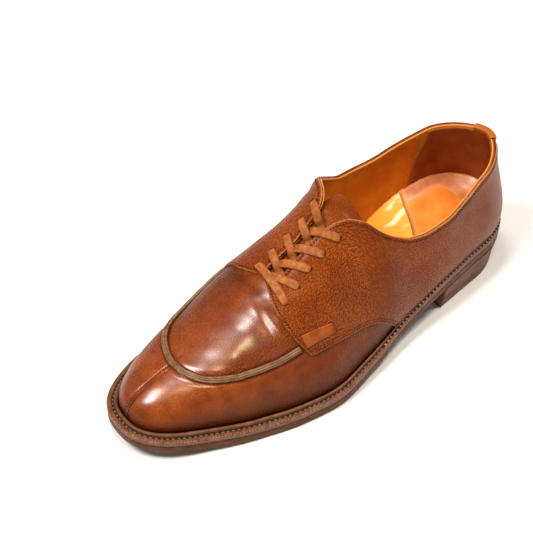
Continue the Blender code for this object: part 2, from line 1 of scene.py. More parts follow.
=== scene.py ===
"""Looks of the apron toe derby, left shoe: leather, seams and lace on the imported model.

Lengths are in millimetres and become metres when a mesh is made. A place on the shoe is
s (from the back of the heel to the toe), y (towards the outer, lateral side) and z (up).
A station runs round one side of the shoe: 0 to 1 round the heel from its back, 1 to 2 along
the body, and 2 to 3 round the toe to its tip. A share runs up a section from the sole to its top.
"""

import bmesh
import bpy
import numpy as np
from mathutils import Matrix
from mathutils.kdtree import KDTree


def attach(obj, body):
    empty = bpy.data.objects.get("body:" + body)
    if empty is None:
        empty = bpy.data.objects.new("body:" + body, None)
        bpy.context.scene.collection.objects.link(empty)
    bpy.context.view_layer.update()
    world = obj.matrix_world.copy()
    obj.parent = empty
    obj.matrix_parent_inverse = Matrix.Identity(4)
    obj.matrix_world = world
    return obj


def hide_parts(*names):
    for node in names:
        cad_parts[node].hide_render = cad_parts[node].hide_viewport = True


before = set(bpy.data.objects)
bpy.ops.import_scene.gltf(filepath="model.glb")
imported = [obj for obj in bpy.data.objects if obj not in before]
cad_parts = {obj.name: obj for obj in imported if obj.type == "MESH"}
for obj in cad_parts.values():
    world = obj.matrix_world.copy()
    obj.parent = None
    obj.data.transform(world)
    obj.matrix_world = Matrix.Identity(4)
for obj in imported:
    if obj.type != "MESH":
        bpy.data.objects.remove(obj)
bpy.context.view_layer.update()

MM = 0.001
GAP = 0.3
SEAT = 0.45
OVERLAY = 0.4
LATERAL = 1
MEDIAL = -1
SIDES = (LATERAL, MEDIAL)

# Sole
LENGTH = 308.0
MIDDLE_Y = 4.52
HEEL_CENTRE = 38.0
TOE_CENTRE = 238.0
HEEL_ROUND = 2.2
TOE_ROUND = 2.5
SOLE = 6.2
WELT = 3.1
WELT_BEAD = 1.9
WELT_WIDTH = 8
HEEL_SPINE = 18.0
TOE_SPINE = 28.0
HEEL_BREAST = 76.5
HEEL_TAPER = 0.93
HEEL_HOLLOW = 0.5
EDGE_ROUND = 0.9
EDGE_STEPS = 5
FLAT_SHARE = 0.93
RUNGS_END = 140.0
WELT_PITCH = 3.3
MARK_PITCH = 1.9

# Insole: room beside the lining, how far its rim sits inside the wall, width of its curl, place of its
# wear and painted sheen
INSOLE_CLEAR = 0.3
INSOLE_RIM_IN = 0.95
INSOLE_CURL = 14
INSOLE_WEAR_AND_SHEEN = 72

# Upper: the CAD's wall is split into an outer leather and a lining
WALL = 2.2
LEATHER = 0.9
LINING_TOP = 1.05
QUARTER = 1.3
QUARTER_FOOT = 0.06
QUARTER_FULL = 0.135
QUARTER_ROUND = 0.9
QUARTER_NOSE = 14
LINING_STEP = 0.2
HEEL_LINING = 1.1
HEEL_LINING_OUT = 0.4
PATCH_THICK = 0.45
PATCH_SUNK = 0.12
TAB_OVER = 0.35
TAB_UNDER = 0.75
TAB_INSIDE = 2.4
BACKSTAY_EDGE = 0.30
BACKSTAY_CLEAR = 0.010
COLLAR_BACK = 10.5
COLLAR_BACK_Y = -1.7
COLLAR_ROUND = 1.8
COLLAR_STEP = 0.35
THROAT = 191.5
COLLAR_END = 152.0
FACING_START = 128.0
TRIM_FLOOR = 0.3
CORNER_BLUR = 50
BISECT_ROUNDS = 30
# Share up the wall below which the foot's darkening (burnishing and painted shade) is full
BURNISH_SHADE_FOOT = 0.08

# Raised seams, lace and tongue
PIPING_WIDTH = 3.8
PIPING_HEIGHT = 1.7
SEAM_FOOT = 0.135
SEAM_HEAD = 0.94
SEAM_HALF = 1.15
LACE_WIDTH = 5.4
LACE_THICK = 1.0
LACE_SIDES = 20
LACE_ON_TOP = 2.35
LACE_UNDER = -3.1
EYELET_RADIUS = 1.9
EYELET_SIDES = 20
EYELET_DEPTH = 6.0
TONGUE = 1.6
TONGUE_BACK = 152.0
TONGUE_FRONT = 199.0
TONGUE_DEPTH = 3.9
TONGUE_CORNER = 3.6
TONGUE_PEBBLE = 1.4

# Stitches (long, wide, high), the beads that they are made of, and welding of points
STITCH_PITCH = 2.1
STITCH = (1.4, 0.7, 0.55)
LINING_PITCH = 2.0
LINING_STITCH = (1.4, 0.5, 0.4)
BEAD_RINGS = 5
BEAD_SIDES = 8
WELD = 0.002
FINE_WELD = 0.0005


def table(columns, rows):
    """Rows of numbers as named columns."""
    return dict(zip(columns.split(), np.array(rows, float).T))


# Half-width of the sole before its rounded ends
OUTLINE = table("s lateral medial", [
    (0, 30, 32.5), (40, 35, 34.5), (80, 41, 32), (115, 45.5, 25.5), (150, 54, 30.5),
    (185, 60, 46.5), (210, 57.5, 51), (240, 49.7, 47.5), (275, 40, 42.4), (308, 36, 37)])
# Height of the underside: heel seat, waist, flat tread, toe spring
TREAD = table("s z", [
    (0, 24.5), (40, 23.5), (76, 20.8), (112, 12.4), (150, 4.6), (188, 0), (230, 0),
    (262, 2.6), (285, 5.2), (308, 9.6)])
# How far the sole stands out past the upper
REACH = table("s lateral medial", [
    (0, 4, 4), (60, 4, 4), (110, 4.5, 3.5), (150, 6, 4.5), (190, 7.5, 7), (240, 8.5, 8.5),
    (308, 8.5, 8.5)])
# Thickness of the insole, built up under the heel, and how far its rim curls up the wall
INSOLE = table("s thick curl", [
    (0, 9.5, 7), (45, 9.5, 7.5), (80, 7.5, 4), (115, 4.5, 1), (150, 3, 0), (308, 3, 0)])
# Pressed middle of the heel's sock: a box with round corners
SOCK_MIDDLE = (64, -1)
SOCK_HALF = (40, 23)
SOCK_CORNER = 10
SOCK_THICK = 0.7
# Its front edge: the middle and half of its width, and the slant and bow of the cut
SOCK_WIDTH = (32, 29)
SOCK_CUT = (56, 0.25, 0.0075)

# Where each section of the last ends: above the collar, then on the ridge of the foot
TOP = table("s lateral lateral_z medial medial_z", [
    (COLLAR_BACK, 20, 95, 27.5, 95), (40, 24.5, 87.7, 32, 91), (60, 29, 81.6, 36.7, 85),
    (80, 32.5, 77.7, 39.5, 79.5), (95, 32.3, 76.6, 41, 78.4), (105, 30.5, 78, 39.8, 80.5),
    (115, 27, 82.5, 36.5, 87), (125, 21.5, 91, 30.5, 96.5), (135, 8.5, 101.5, 20, 107),
    (142, -2, 102.8, 11.5, 104.5), (150, -8, 97, 8, 97), (158, -7.5, 89.2, 7.5, 89.2),
    (168, -7, 81.2, 7, 81.2), (190, -6.5, 68, 6.5, 68), (205, -5.5, 63, 5.5, 63),
    (225, -4, 57, 4, 57), (245, -2.5, 50, 2.5, 50), (266, -1, 42.5, 1, 42.5),
    (308, 1, 33, -1, 33)])
# Fullness of each section: how far it leans out and climbs at the sole, and at its top
LATERAL_FORM = table("s out climb spread fall", [
    (0, 6.5, 18, 1, 20), (8, 6.5, 18, 1, 20), (40, 5, 18, 1, 20), (100, 5, 16, 2, 20),
    (130, 6, 18, 12, 12), (150, 6, 20, 26, 5), (190, 6, 20.5, 37, 2.5), (215, 5, 20.5, 40, 0.5),
    (240, 4, 18.5, 37, 0), (295, 3.5, 14.5, 32, 0), (308, 3.5, 14.5, 32, 0)])
MEDIAL_FORM = table("s out climb spread fall", [
    (0, 6.5, 18, 1, 20), (8, 6.5, 18, 1, 20), (40, 6, 18, 1, 20), (100, 10, 16, 2, 20),
    (130, 11, 22, 14, 12), (150, 10, 28, 34, 5), (190, 8, 28, 41, 2.5), (215, 6, 24, 37, 1),
    (240, 4.5, 19, 34, 0), (295, 3.5, 14.5, 32, 0), (308, 3.5, 14.5, 32, 0)])
# Height of the collar
COLLAR = table("s lateral medial", [
    (0, 95, 95), (13, 95, 95), (40, 87.5, 90.8), (60, 81.4, 84.8), (80, 77.4, 79.2),
    (95, 75.9, 77.8), (105, 76.5, 79), (118, 81.9, 86.7), (127, 88.5, 94), (134, 94.8, 99.3),
    (139, 98.6, 103), (145, 100.3, 105.5), (160, 101, 107)])
# Distance of each facing's edge from the middle line
FACING = table("s lateral medial", [
    (128, 8, 14), (134, 10, 16), (139, 11.5, 15), (142.2, 9, 11), (146.8, 6, 8), (151.6, 3, 6.6),
    (155.4, 1, 6), (164, 0.6, 6.6), (175, 1, 7.8), (187.5, 1.5, 9), (191.5, -4, 8)])
# Outline of the quarters seen from the side: lower and front edge, then the edge at the throat
LATERAL_LOWER = table("s z", [
    (118, 8), (125, 20.4), (134, 30), (145, 36.4), (160, 39), (177, 39.5), (186, 39.2),
    (194.6, 38.9), (198.4, 44), (200.8, 48.5), (202, 54)])
LATERAL_THROAT = table("s z", [(186, 71), (194, 66.5), (199.5, 62.4), (201.9, 58.5), (202, 54)])
MEDIAL_LOWER = table("s z", [
    (120, 8), (127, 20), (138, 28), (148, 32), (160, 35.5), (172, 38.5), (182, 39.5),
    (192.1, 38.7), (195.5, 44.5), (196.8, 51), (197.4, 57), (198, 61.3)])
MEDIAL_THROAT = table("s z", [(186, 71), (193, 67), (197, 63.6), (198, 61.3)])
# Middle line of the apron's piping seen from above, from the quarters to the tip of the toe
APRON = table("turn lateral lateral_y medial medial_y", [
    (0, 200.5, 37.8, 197, 41.3), (0.17, 213, 37.2, 212, 40), (0.33, 226, 34.8, 226, 37),
    (0.47, 238, 31, 238, 33.3), (0.6, 249, 26, 248, 29.2), (0.72, 257, 20.3, 256, 22.8),
    (0.82, 262, 13.8, 261.5, 14.5), (0.92, 265, 6, 264.8, 6), (1, 265.7, -1, 265.7, 1)])
# Eyelets from the throat up, as places seen from above
EYELETS = table("lateral lateral_y medial medial_y", [
    (194, 15.2, 190.4, 15), (182.7, 12.5, 179.5, 15), (171.9, 10.5, 168.5, 13.8),
    (161.3, 10.2, 158, 13.2), (149.9, 10.6, 148.4, 13.4)])
# Where each strip of the lace comes up through the gap, ahead of its own eyelet
LACE_LEAD = table("lateral medial", [(10, 7.3), (12.5, 8.1), (11.9, 6.8), (11.6, 7.7)])
# The tongue's free end, carried back from its last section
TONGUE_END = table("back up", [(0, 0), (6, 3), (14, 4.8), (22, 4.5)])
TONGUE_HALF = table("s half", [(130, 15), (152, 16), (180, 17), (199, 15)])
# Creases across the vamp and down its sides, each through three places seen from above
CREASES = table("s0 y0 s1 y1 s2 y2 depth width", [
    (203.5, 36, 206.5, 22, 205, 9, 0.55, 3.0), (211, 38, 214, 27, 212, 15, 0.16, 3.2),
    (219, 36, 221.5, 30, 221, 22, 0.1, 3.0), (200.5, -41, 204, -24, 203, -8, 0.45, 3.0),
    (209, -41, 213, -25, 210.5, -9, 0.28, 3.2), (218, -38, 221, -26, 219, -13, 0.18, 3.2),
    (215, -12, 218.5, 0, 216, 11, 0.2, 3.6), (203.5, 42, 207, 49, 209, 53, 0.35, 2.6),
    (213, 41, 217.5, 46, 221, 49, 0.25, 2.8), (200, -44, 204, -47, 207, -49, 0.35, 2.6),
    (211, -43, 215, -46, 219, -47, 0.22, 2.8), (227, 32, 230, 26, 229, 19, 0.12, 3)])
# The smooth patch sewn on each quarter's front corner, seen from the side
PATCH_BACK = 4
PATCH = table("s lower upper", [(174, 44.9, 50.6), (185, 44.1, 50.1), (197, 43.2, 49.4)])

# Front edge of the heel's own lining, as stations up the wall
HEEL_SEAM = table("share station", [
    (0.0, 1.085), (0.25, 1.067), (0.66, 1.042), (0.94, 1.0), (1, 0.99)])
# The row of stitches beside each facing, seen from above
FACING_SEAM = table("s y", [
    (181, 31), (179, 26), (172, 22.5), (160, 20.5), (150, 20), (141, 20.5)])

# Number of the lower edge's row at its front corner
LOWER_TIP = 7

SIDE_NAME = {LATERAL: "lateral", MEDIAL: "medial"}
FORM = {LATERAL: LATERAL_FORM, MEDIAL: MEDIAL_FORM}
LOWER = {LATERAL: LATERAL_LOWER, MEDIAL: MEDIAL_LOWER}
THROAT_EDGE = {LATERAL: LATERAL_THROAT, MEDIAL: MEDIAL_THROAT}


# The last

def curve(rows, column, at, key="s"):
    """A smooth curve through a table's column, with no overshoot."""
    x, y = rows[key], rows[column]
    step = np.diff(x)
    slope = np.diff(y) / step
    tangent = np.concatenate([slope[:1], np.zeros(len(x) - 2), slope[-1:]])
    same = slope[:-1] * slope[1:] > 0
    steep = 2 * slope[:-1] * slope[1:] / np.where(same, slope[:-1] + slope[1:], 1)
    tangent[1:-1] = np.where(same, steep, 0)
    at = np.asarray(at, float)
    k = np.clip(np.searchsorted(x, at, side="right") - 1, 0, len(step) - 1)
    t = np.clip((at - x[k]) / step[k], -1, 2)
    h = step[k]
    return ((1 + 2 * t) * (1 - t) ** 2 * y[k] + t * (1 - t) ** 2 * h * tangent[k]
            + t ** 2 * (3 - 2 * t) * y[k + 1] + t ** 2 * (t - 1) * h * tangent[k + 1])


def unit(vectors):
    """Vectors of length one."""
    return vectors / np.linalg.norm(vectors, axis=-1, keepdims=True)


def span(vectors):
    """Lengths of vectors."""
    return np.linalg.norm(vectors, axis=-1)


def hump(value, middle, width):
    """1 at the middle, dying away on both sides over a width."""
    return np.exp(-((value - middle) / width) ** 2)


def fade(value, start, width, power):
    """1 up to the start, then dying away over a width."""
    return np.exp(-((value - start) / width).clip(0) ** power)


def level(flat, height=0.0):
    """Places seen from above, set at a height."""
    height = np.broadcast_to(height, flat.shape[:-1])
    return np.concatenate([flat, height[..., None]], -1)


def ease(value, low, high):
    """0 below low, 1 above high, eased between."""
    t = np.clip((np.asarray(value, float) - low) / (high - low), 0, 1)
    return t * t * (3 - 2 * t)


def body_station(s):
    """Station of a place along the body."""
    return 1 + (np.asarray(s, float) - HEEL_CENTRE) / (TOE_CENTRE - HEEL_CENTRE)


def turn(station):
    """Share of the way out along the rounded heel and toe: heel, body, toe."""
    station = np.asarray(station, float)
    heel = np.cos(np.clip(station, 0, 1) * np.pi / 2).clip(0) ** (2 / HEEL_ROUND)
    body = np.clip(station - 1, 0, 1)
    toe = np.sin(np.clip(station - 2, 0, 1) * np.pi / 2).clip(0) ** (2 / TOE_ROUND)
    return heel, body, toe


def along(station, heel_end, toe_end):
    """Distance from the back for a line whose ends lie at heel_end and toe_end."""
    heel, body, toe = turn(station)
    middle = HEEL_CENTRE + (TOE_CENTRE - HEEL_CENTRE) * body
    return middle - (HEEL_CENTRE - heel_end) * heel + (toe_end - TOE_CENTRE) * toe


def outline(station, side):
    """Edge of the sole seen from above."""
    heel, _, toe = turn(station)
    s = along(station, 0, LENGTH)
    cap = (1 - heel ** HEEL_ROUND).clip(0) ** (1 / HEEL_ROUND)
    cap = cap * (1 - toe ** TOE_ROUND).clip(0) ** (1 / TOE_ROUND)
    return np.stack([s, side * curve(OUTLINE, SIDE_NAME[side], s) * cap], -1)


def inset(station, side, amount):
    """The sole's edge moved in by an amount, square to itself."""
    station = np.asarray(station, float)
    small = 1e-3
    before = outline(np.clip(station - small, 0, 3), side)
    after = outline(np.clip(station + small, 0, 3), side)
    run = unit(after - before)
    inward = np.stack([run[..., 1], -run[..., 0]], -1) * side
    inward = np.where((station <= 0)[..., None], (1, 0), inward)
    inward = np.where((station >= 3)[..., None], (-1, 0), inward)
    return outline(station, side) + inward * np.asarray(amount)[..., None]


def reach(station, side):
    """Width of the welt beside the upper."""
    return curve(REACH, SIDE_NAME[side], along(station, 0, LENGTH))


def tread(s):
    """Height of the sole's underside."""
    return curve(TREAD, "z", s)


def seat(s):
    """Height that the upper, welt and insole stand on."""
    return tread(s) + SOLE + SEAT


def feather(station, side):
    """Foot of the upper's outer face, on the sole."""
    edge = inset(station, side, reach(station, side))
    return level(edge, seat(edge[..., 0]))


def crest(station, side):
    """Top of each section of the last."""
    name = SIDE_NAME[side]
    heel = turn(station)[0]
    s = along(station, COLLAR_BACK, TOE_CENTRE + TOE_SPINE)
    cap = (1 - heel ** COLLAR_ROUND).clip(0) ** (1 / COLLAR_ROUND)
    y = side * curve(TOP, name, s) * cap + COLLAR_BACK_Y * (1 - cap)
    return np.stack([s, y, curve(TOP, name + "_z", s)], -1)


def skin(station, share, side):
    """Outer face of the upper: a station round the shoe and a share of its section."""
    station, share = np.broadcast_arrays(np.asarray(station, float), np.asarray(share, float))
    low, high = feather(station, side), crest(station, side)
    out, climb, spread, fall = (curve(FORM[side], name, low[..., 0])
                                for name in ("out", "climb", "spread", "fall"))
    angle = np.clip(station, 0, 1) * np.pi / 2
    heel = np.stack([-np.cos(angle), side * np.sin(angle)], -1)
    away = np.where(station[..., None] > 2, unit(low[..., :2] - high[..., :2]), heel)
    near_low = low + np.concatenate([away * out[..., None], climb[..., None]], -1)
    near_high = high + np.concatenate([away * spread[..., None], -fall[..., None]], -1)
    ridge = curve(TOP, "lateral_z", near_high[..., 0]) - curve(TOP, "lateral_z", high[..., 0])
    near_high[..., 2] += np.where(station > 2, ridge, 0)
    v = share[..., None]
    return ((1 - v) ** 3 * low + 3 * (1 - v) ** 2 * v * near_low
            + 3 * (1 - v) * v ** 2 * near_high + v ** 3 * high)


def steps(station, share, side):
    """How the skin moves for a unit of station and of share."""
    small = 2e-3
    ahead, behind = np.clip(station + small, 0, 3), np.clip(station - small, 0, 3)
    above, below = np.clip(share + small, 0, 1), np.clip(share - small, 0, 1)
    run = (skin(ahead, share, side) - skin(behind, share, side)) / (ahead - behind)[..., None]
    rise = (skin(station, above, side) - skin(station, below, side)) / (above - below)[..., None]
    return run, rise


def normal(station, share, side):
    """Outward direction of the skin; both sides agree where they meet."""
    station, share = np.broadcast_arrays(np.asarray(station, float), np.asarray(share, float))
    ridge = (share > 1 - 1e-9) & (station > body_station(THROAT))
    meets = (station <= 0) | (station >= 3) | ridge
    total = 0
    for part in (side, -side):
        run, rise = steps(station, share, part)
        out = np.cross(rise, run) * part
        out = out / np.linalg.norm(out, axis=-1, keepdims=True).clip(1e-9)
        total = total + out * np.where(meets | (part == side), 1, 0)[..., None]
    return unit(total)


def lift(station, share, side, height):
    """A point at a height over the skin."""
    out = normal(station, share, side)
    return skin(station, share, side) + out * np.asarray(height)[..., None]


def bisect(outside, low, high):
    """The share between low and high where outside turns true."""
    for _ in range(BISECT_ROUNDS):
        middle = (low + high) / 2
        past = outside(middle)
        low, high = np.where(past, low, middle), np.where(past, middle, high)
    return (low + high) / 2


def free_edge(side):
    """Stations and shares of the upper's edge, with the facing's corner rounded."""
    station = np.linspace(0, body_station(THROAT + 1), 1300)
    name = SIDE_NAME[side]

    def open_at(share):
        s, y, z = np.moveaxis(skin(station, share, side), -1, 0)
        collar = (z > curve(COLLAR, name, s)) & (s < COLLAR_END)
        gap = (side * y < curve(FACING, name, s)) & (s > FACING_START) & (s < THROAT)
        return collar | gap

    shares = np.linspace(TRIM_FLOOR, 1, 141)
    found = np.array([open_at(np.full(station.shape, share)) for share in shares])
    first = np.where(found.any(0), found.argmax(0), len(shares) - 1)
    low = np.where(first > 0, shares[first - 1], TRIM_FLOOR)
    edge = np.where(found.any(0), bisect(open_at, low, shares[first]), 1.0)
    window = hump(np.linspace(-2.5, 2.5, 2 * CORNER_BLUR + 1), 0, 1)
    soft = np.convolve(np.pad(edge, CORNER_BLUR, mode="edge"), window / window.sum(), "valid")
    s = skin(station, edge, side)[..., 0]
    corner = ease(s, 124, 133) * (1 - ease(s, 152, 162))
    return station, edge + (soft - edge) * corner


FREE_EDGE = {side: free_edge(side) for side in SIDES}


def trim(station, side):
    """Share of each section below the collar and beside the lacing gap."""
    return np.interp(station, *FREE_EDGE[side])


def share_at(s, y, side):
    """Share of the section at s where the skin passes over y."""
    station = body_station(s)
    return bisect(lambda share: side * skin(station, share, side)[..., 1] < y, TRIM_FLOOR, 1.0)


def share_at_height(station, z, side):
    """Share of the section where the skin reaches a height."""
    return bisect(lambda share: skin(station, share, side)[..., 2] > z, 0.0, 1.0)


def toe_place(s, y, side):
    """Station and share of the skin over a place on the vamp, seen from above."""
    place = np.stack([s, y], -1)

    def from_crest(station):
        low, high = feather(station, side)[..., :2], crest(station, side)[..., :2]
        return place - high, unit(low - high), high

    def past(station):
        ahead, away, _ = from_crest(station)
        return side * (away[..., 0] * ahead[..., 1] - away[..., 1] * ahead[..., 0]) > 0

    on_body = s < TOE_CENTRE
    station = np.where(on_body, body_station(s), bisect(past, np.full(s.shape, 2.0), 3.0))
    ahead, away, high = from_crest(station)
    reached = (ahead * away).sum(-1)
    share = bisect(lambda v: ((skin(station, v, side)[..., :2] - high) * away).sum(-1) < reached,
                   np.full(s.shape, 0.2), 1.0)
    return station, np.where(on_body, share_at(s, side * y, side), share)


def ring_stations(spacing=1.0):
    """Stations round one side, closest at the facing's corner and on the vamp."""
    body = [(HEEL_CENTRE, 126, 2.0), (126, 158, 0.8), (158, THROAT, 1.2), (THROAT, TOE_CENTRE, 1.0)]
    runs = [np.linspace(0, 1, int(36 / spacing) + 1)[:-1]]
    for start, end, step in body:
        count = int((end - start) / step / spacing) + 1
        runs.append(np.linspace(body_station(start), body_station(end), count + 1)[:-1])
    return np.concatenate(runs + [np.linspace(2, 3, int(72 / spacing) + 1)])


# Making meshes

def metres(points):
    """Points in the part's own frame, in metres."""
    return (np.asarray(points, float) - (LENGTH / 2, MIDDLE_Y, 0)) * MM


def quads_over(rows, columns):
    """Corner numbers of the quads over a grid of points."""
    index = np.arange(rows * columns).reshape(rows, columns)
    corners = [index[:-1, :-1], index[:-1, 1:], index[1:, 1:], index[1:, :-1]]
    return np.stack(corners, -1).reshape(-1, 4)


class Shape:
    """Grids of points gathered into one mesh, with numbers kept at each point."""

    def __init__(self):
        self.points, self.faces, self.fields, self.count = [], [], {}, 0

    def add(self, points, faces, **fields):
        """Points and faces, with a number at each point for each field."""
        points = np.reshape(points, (-1, 3))
        self.points.append(points)
        self.faces += (np.asarray(faces) + self.count).tolist()
        for key, values in fields.items():
            self.fields.setdefault(key, []).append(np.broadcast_to(values, len(points)))
        self.count += len(points)

    def grid(self, points, **fields):
        """Quads over a grid of points."""
        rows, columns = points.shape[:2]
        flat = {key: np.broadcast_to(values, (rows, columns)).ravel()
                for key, values in fields.items()}
        self.add(points, quads_over(rows, columns), **flat)

    def shell(self, faces, rims, **fields):
        """Two faces as grids, with strips between them along some of their rims."""
        for face in faces:
            self.grid(face, **fields)
        for rim in rims:
            strip = {key: np.broadcast_to(values, faces[0].shape[:2])[rim][:, None]
                     for key, values in fields.items()}
            self.grid(np.stack([face[rim] for face in faces], 1), **strip)

    def piece(self, name, finish, slot, nodes=(), weld=WELD):
        """The shape as a welded object that rides on the shoe."""
        data = bpy.data.meshes.new(name)
        data.from_pydata(metres(np.concatenate(self.points)).tolist(), [], self.faces)
        for key, values in self.fields.items():
            layer = data.attributes.new(key, "FLOAT", "POINT")
            layer.data.foreach_set("value", np.concatenate(values).astype(np.float32))
        mesh = bmesh.new()
        mesh.from_mesh(data)
        bmesh.ops.remove_doubles(mesh, verts=mesh.verts, dist=weld * MM)
        bmesh.ops.dissolve_degenerate(mesh, edges=mesh.edges, dist=weld * MM / 2)
        bmesh.ops.recalc_face_normals(mesh, faces=mesh.faces)
        if mesh.calc_volume(signed=True) < 0:
            bmesh.ops.reverse_faces(mesh, faces=mesh.faces)
        mesh.to_mesh(data)
        mesh.free()
        data.shade_smooth()
        data.materials.append(FINISHES[finish])
        item = bpy.data.objects.new(name, data)
        bpy.context.scene.collection.objects.link(item)
        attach(item, "root")
        if nodes:
            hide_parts(*nodes)
        return item


def nearest(points, path):
    """Distance of each point from a path of close points, and the path's nearest number."""
    tree = KDTree(len(path))
    for k, place in enumerate(path):
        tree.insert(place, k)
    tree.balance()
    found = [tree.find(point)[1:] for point in np.reshape(points, (-1, 3))]
    number, distance = np.array(found).T
    shape = np.shape(points)[:-1]
    return distance.reshape(shape), number.reshape(shape).astype(int)


def through(values, spacing):
    """A smooth line through rows of numbers whose first three columns are a place."""
    values = np.asarray(values, float)
    at = np.concatenate([[0], np.cumsum(span(np.diff(values[:, :3], axis=0)))])
    rows = {"at": at, **{str(k): column for k, column in enumerate(values.T)}}
    wanted = np.linspace(0, at[-1], max(2, int(at[-1] / spacing) + 1))
    return np.stack([curve(rows, str(k), wanted, key="at") for k in range(values.shape[1])], -1)


def evenly(path, spacing):
    """Even steps along a path of close points, as numbers of its points."""
    run = np.concatenate([[0], np.cumsum(span(np.diff(path, axis=0)))])
    count = max(1, int(run[-1] / spacing))
    wanted = (np.arange(count) + 0.5) * run[-1] / count
    return np.interp(wanted, run, np.arange(len(path)))


def pick(rows, at):
    """Rows of numbers read between their lines."""
    low = np.clip(np.floor(at).astype(int), 0, len(rows) - 2)
    part = (at - low)[:, None]
    return rows[low] * (1 - part) + rows[low + 1] * part


def sweep(shape, path, up, sections, **fields):
    """Closed sections (across, up) carried along a path and closed at its ends."""
    run = unit(np.gradient(path, axis=0))
    across = unit(np.cross(run, up))
    up = np.cross(across, run)
    sections = np.broadcast_to(sections, (len(path),) + np.shape(sections)[-2:])
    rings = path[:, None] + across[:, None] * sections[..., :1] + up[:, None] * sections[..., 1:]
    caps = rings.mean(1, keepdims=True).repeat(rings.shape[1], 1)
    rings = np.concatenate([caps[:1], rings, caps[-1:]])
    rings = np.concatenate([rings, rings[:, :1]], 1)
    shape.grid(rings, **fields)


def blunt(value, power):
    """A sine or cosine made fuller, with its sign kept."""
    return np.sign(value) * np.abs(value) ** power


def bead():
    """A round bead of unit half-length, as points and faces."""
    lean = np.linspace(0, np.pi, BEAD_RINGS + 1)[:, None]
    around = np.arange(BEAD_SIDES) * 2 * np.pi / BEAD_SIDES
    ends = np.broadcast_to(-blunt(np.cos(lean), 0.7), (BEAD_RINGS + 1, BEAD_SIDES))
    points = np.stack([ends, np.sin(lean) * np.cos(around), np.sin(lean) * np.sin(around)], -1)
    points = np.concatenate([points, points[:, :1]], 1)
    return points.reshape(-1, 3), quads_over(BEAD_RINGS + 1, BEAD_SIDES + 1)


def add_beads(shape, centres, run, up, size):
    """Beads of a size (long, wide, high) set along a line."""
    points, faces = bead()
    across = unit(np.cross(up, run))
    up = np.cross(run, across)
    frames = np.stack([run, across, up], 1) * (np.asarray(size) / 2)[:, None]
    for centre, axes in zip(centres, frames):
        shape.add(centre + points @ axes, faces)


def stitch_line(shape, path, up, pitch=STITCH_PITCH, size=STITCH, sink=0.08, slant=0.0):
    """Stitches along a path of close points; slant turns each one across the line."""
    at = evenly(path, pitch)
    run = unit(pick(np.gradient(path, axis=0), at))
    out = unit(pick(up, at))
    if slant:
        run = unit(run + np.cross(out, run) * slant)
    add_beads(shape, pick(path, at) - out * sink, run, out, size)


# Lines on the skin

def moved(stations, shares, side, distance):
    """A line on the skin moved sideways, to its left seen from outside."""
    place = skin(stations, shares, side)
    out = normal(stations, shares, side)
    aside = unit(np.cross(out, np.gradient(place, axis=0))) * distance
    run, rise = steps(stations, shares, side)
    a, b, c = (run * run).sum(-1), (run * rise).sum(-1), (rise * rise).sum(-1)
    p, q = (aside * run).sum(-1), (aside * rise).sum(-1)
    fall = a * c - b * b
    shifted = stations + (p * c - q * b) / fall, shares + (q * a - p * b) / fall
    return shifted[0].clip(0, 3), shifted[1].clip(0, 1)


def over(stations, shares, side, height):
    """Points of a line at a height over the skin, and the skin's directions."""
    out = normal(stations, shares, side)
    return skin(stations, shares, side) + out * height, out


def on_skin(s, y, height):
    """A point at a height over the skin above a place, and the skin's direction there."""
    s, y = np.broadcast_arrays(np.asarray(s, float), np.asarray(y, float))
    station = body_station(s)
    outer = (y > crest(station, LATERAL)[..., 1])[..., None]
    found = []
    for side in SIDES:
        share = share_at(s, side * y, side)
        out = normal(station, share, side)
        found.append((skin(station, share, side) + out * np.asarray(height)[..., None], out))
    return tuple(np.where(outer, lateral, medial) for lateral, medial in zip(*found))


def apron_line():
    """Middle line of the piping, from the outer quarter round the toe to the inner one."""
    turns = np.linspace(0, 1, 90)
    path, up = [], []
    for side, order in ((LATERAL, turns), (MEDIAL, turns[-2::-1])):
        name = SIDE_NAME[side]
        s = curve(APRON, name, order, key="turn")
        y = curve(APRON, name + "_y", order, key="turn")
        station, share = toe_place(s, side * y, side)
        path.append(skin(station, share, side))
        up.append(normal(station, share, side))
    return np.concatenate(path), np.concatenate(up)


# Finishes

# Colour of the light that leather throws back from under its polish
RUDDY = (1.0, 0.45, 0.15, 1)
SOCKETS = {"coat": "Coat Weight", "coat_rough": "Coat Roughness", "coat_ior": "Coat IOR",
           "specular": "Specular IOR Level", "tint": "Specular Tint"}
FINISHES = {}


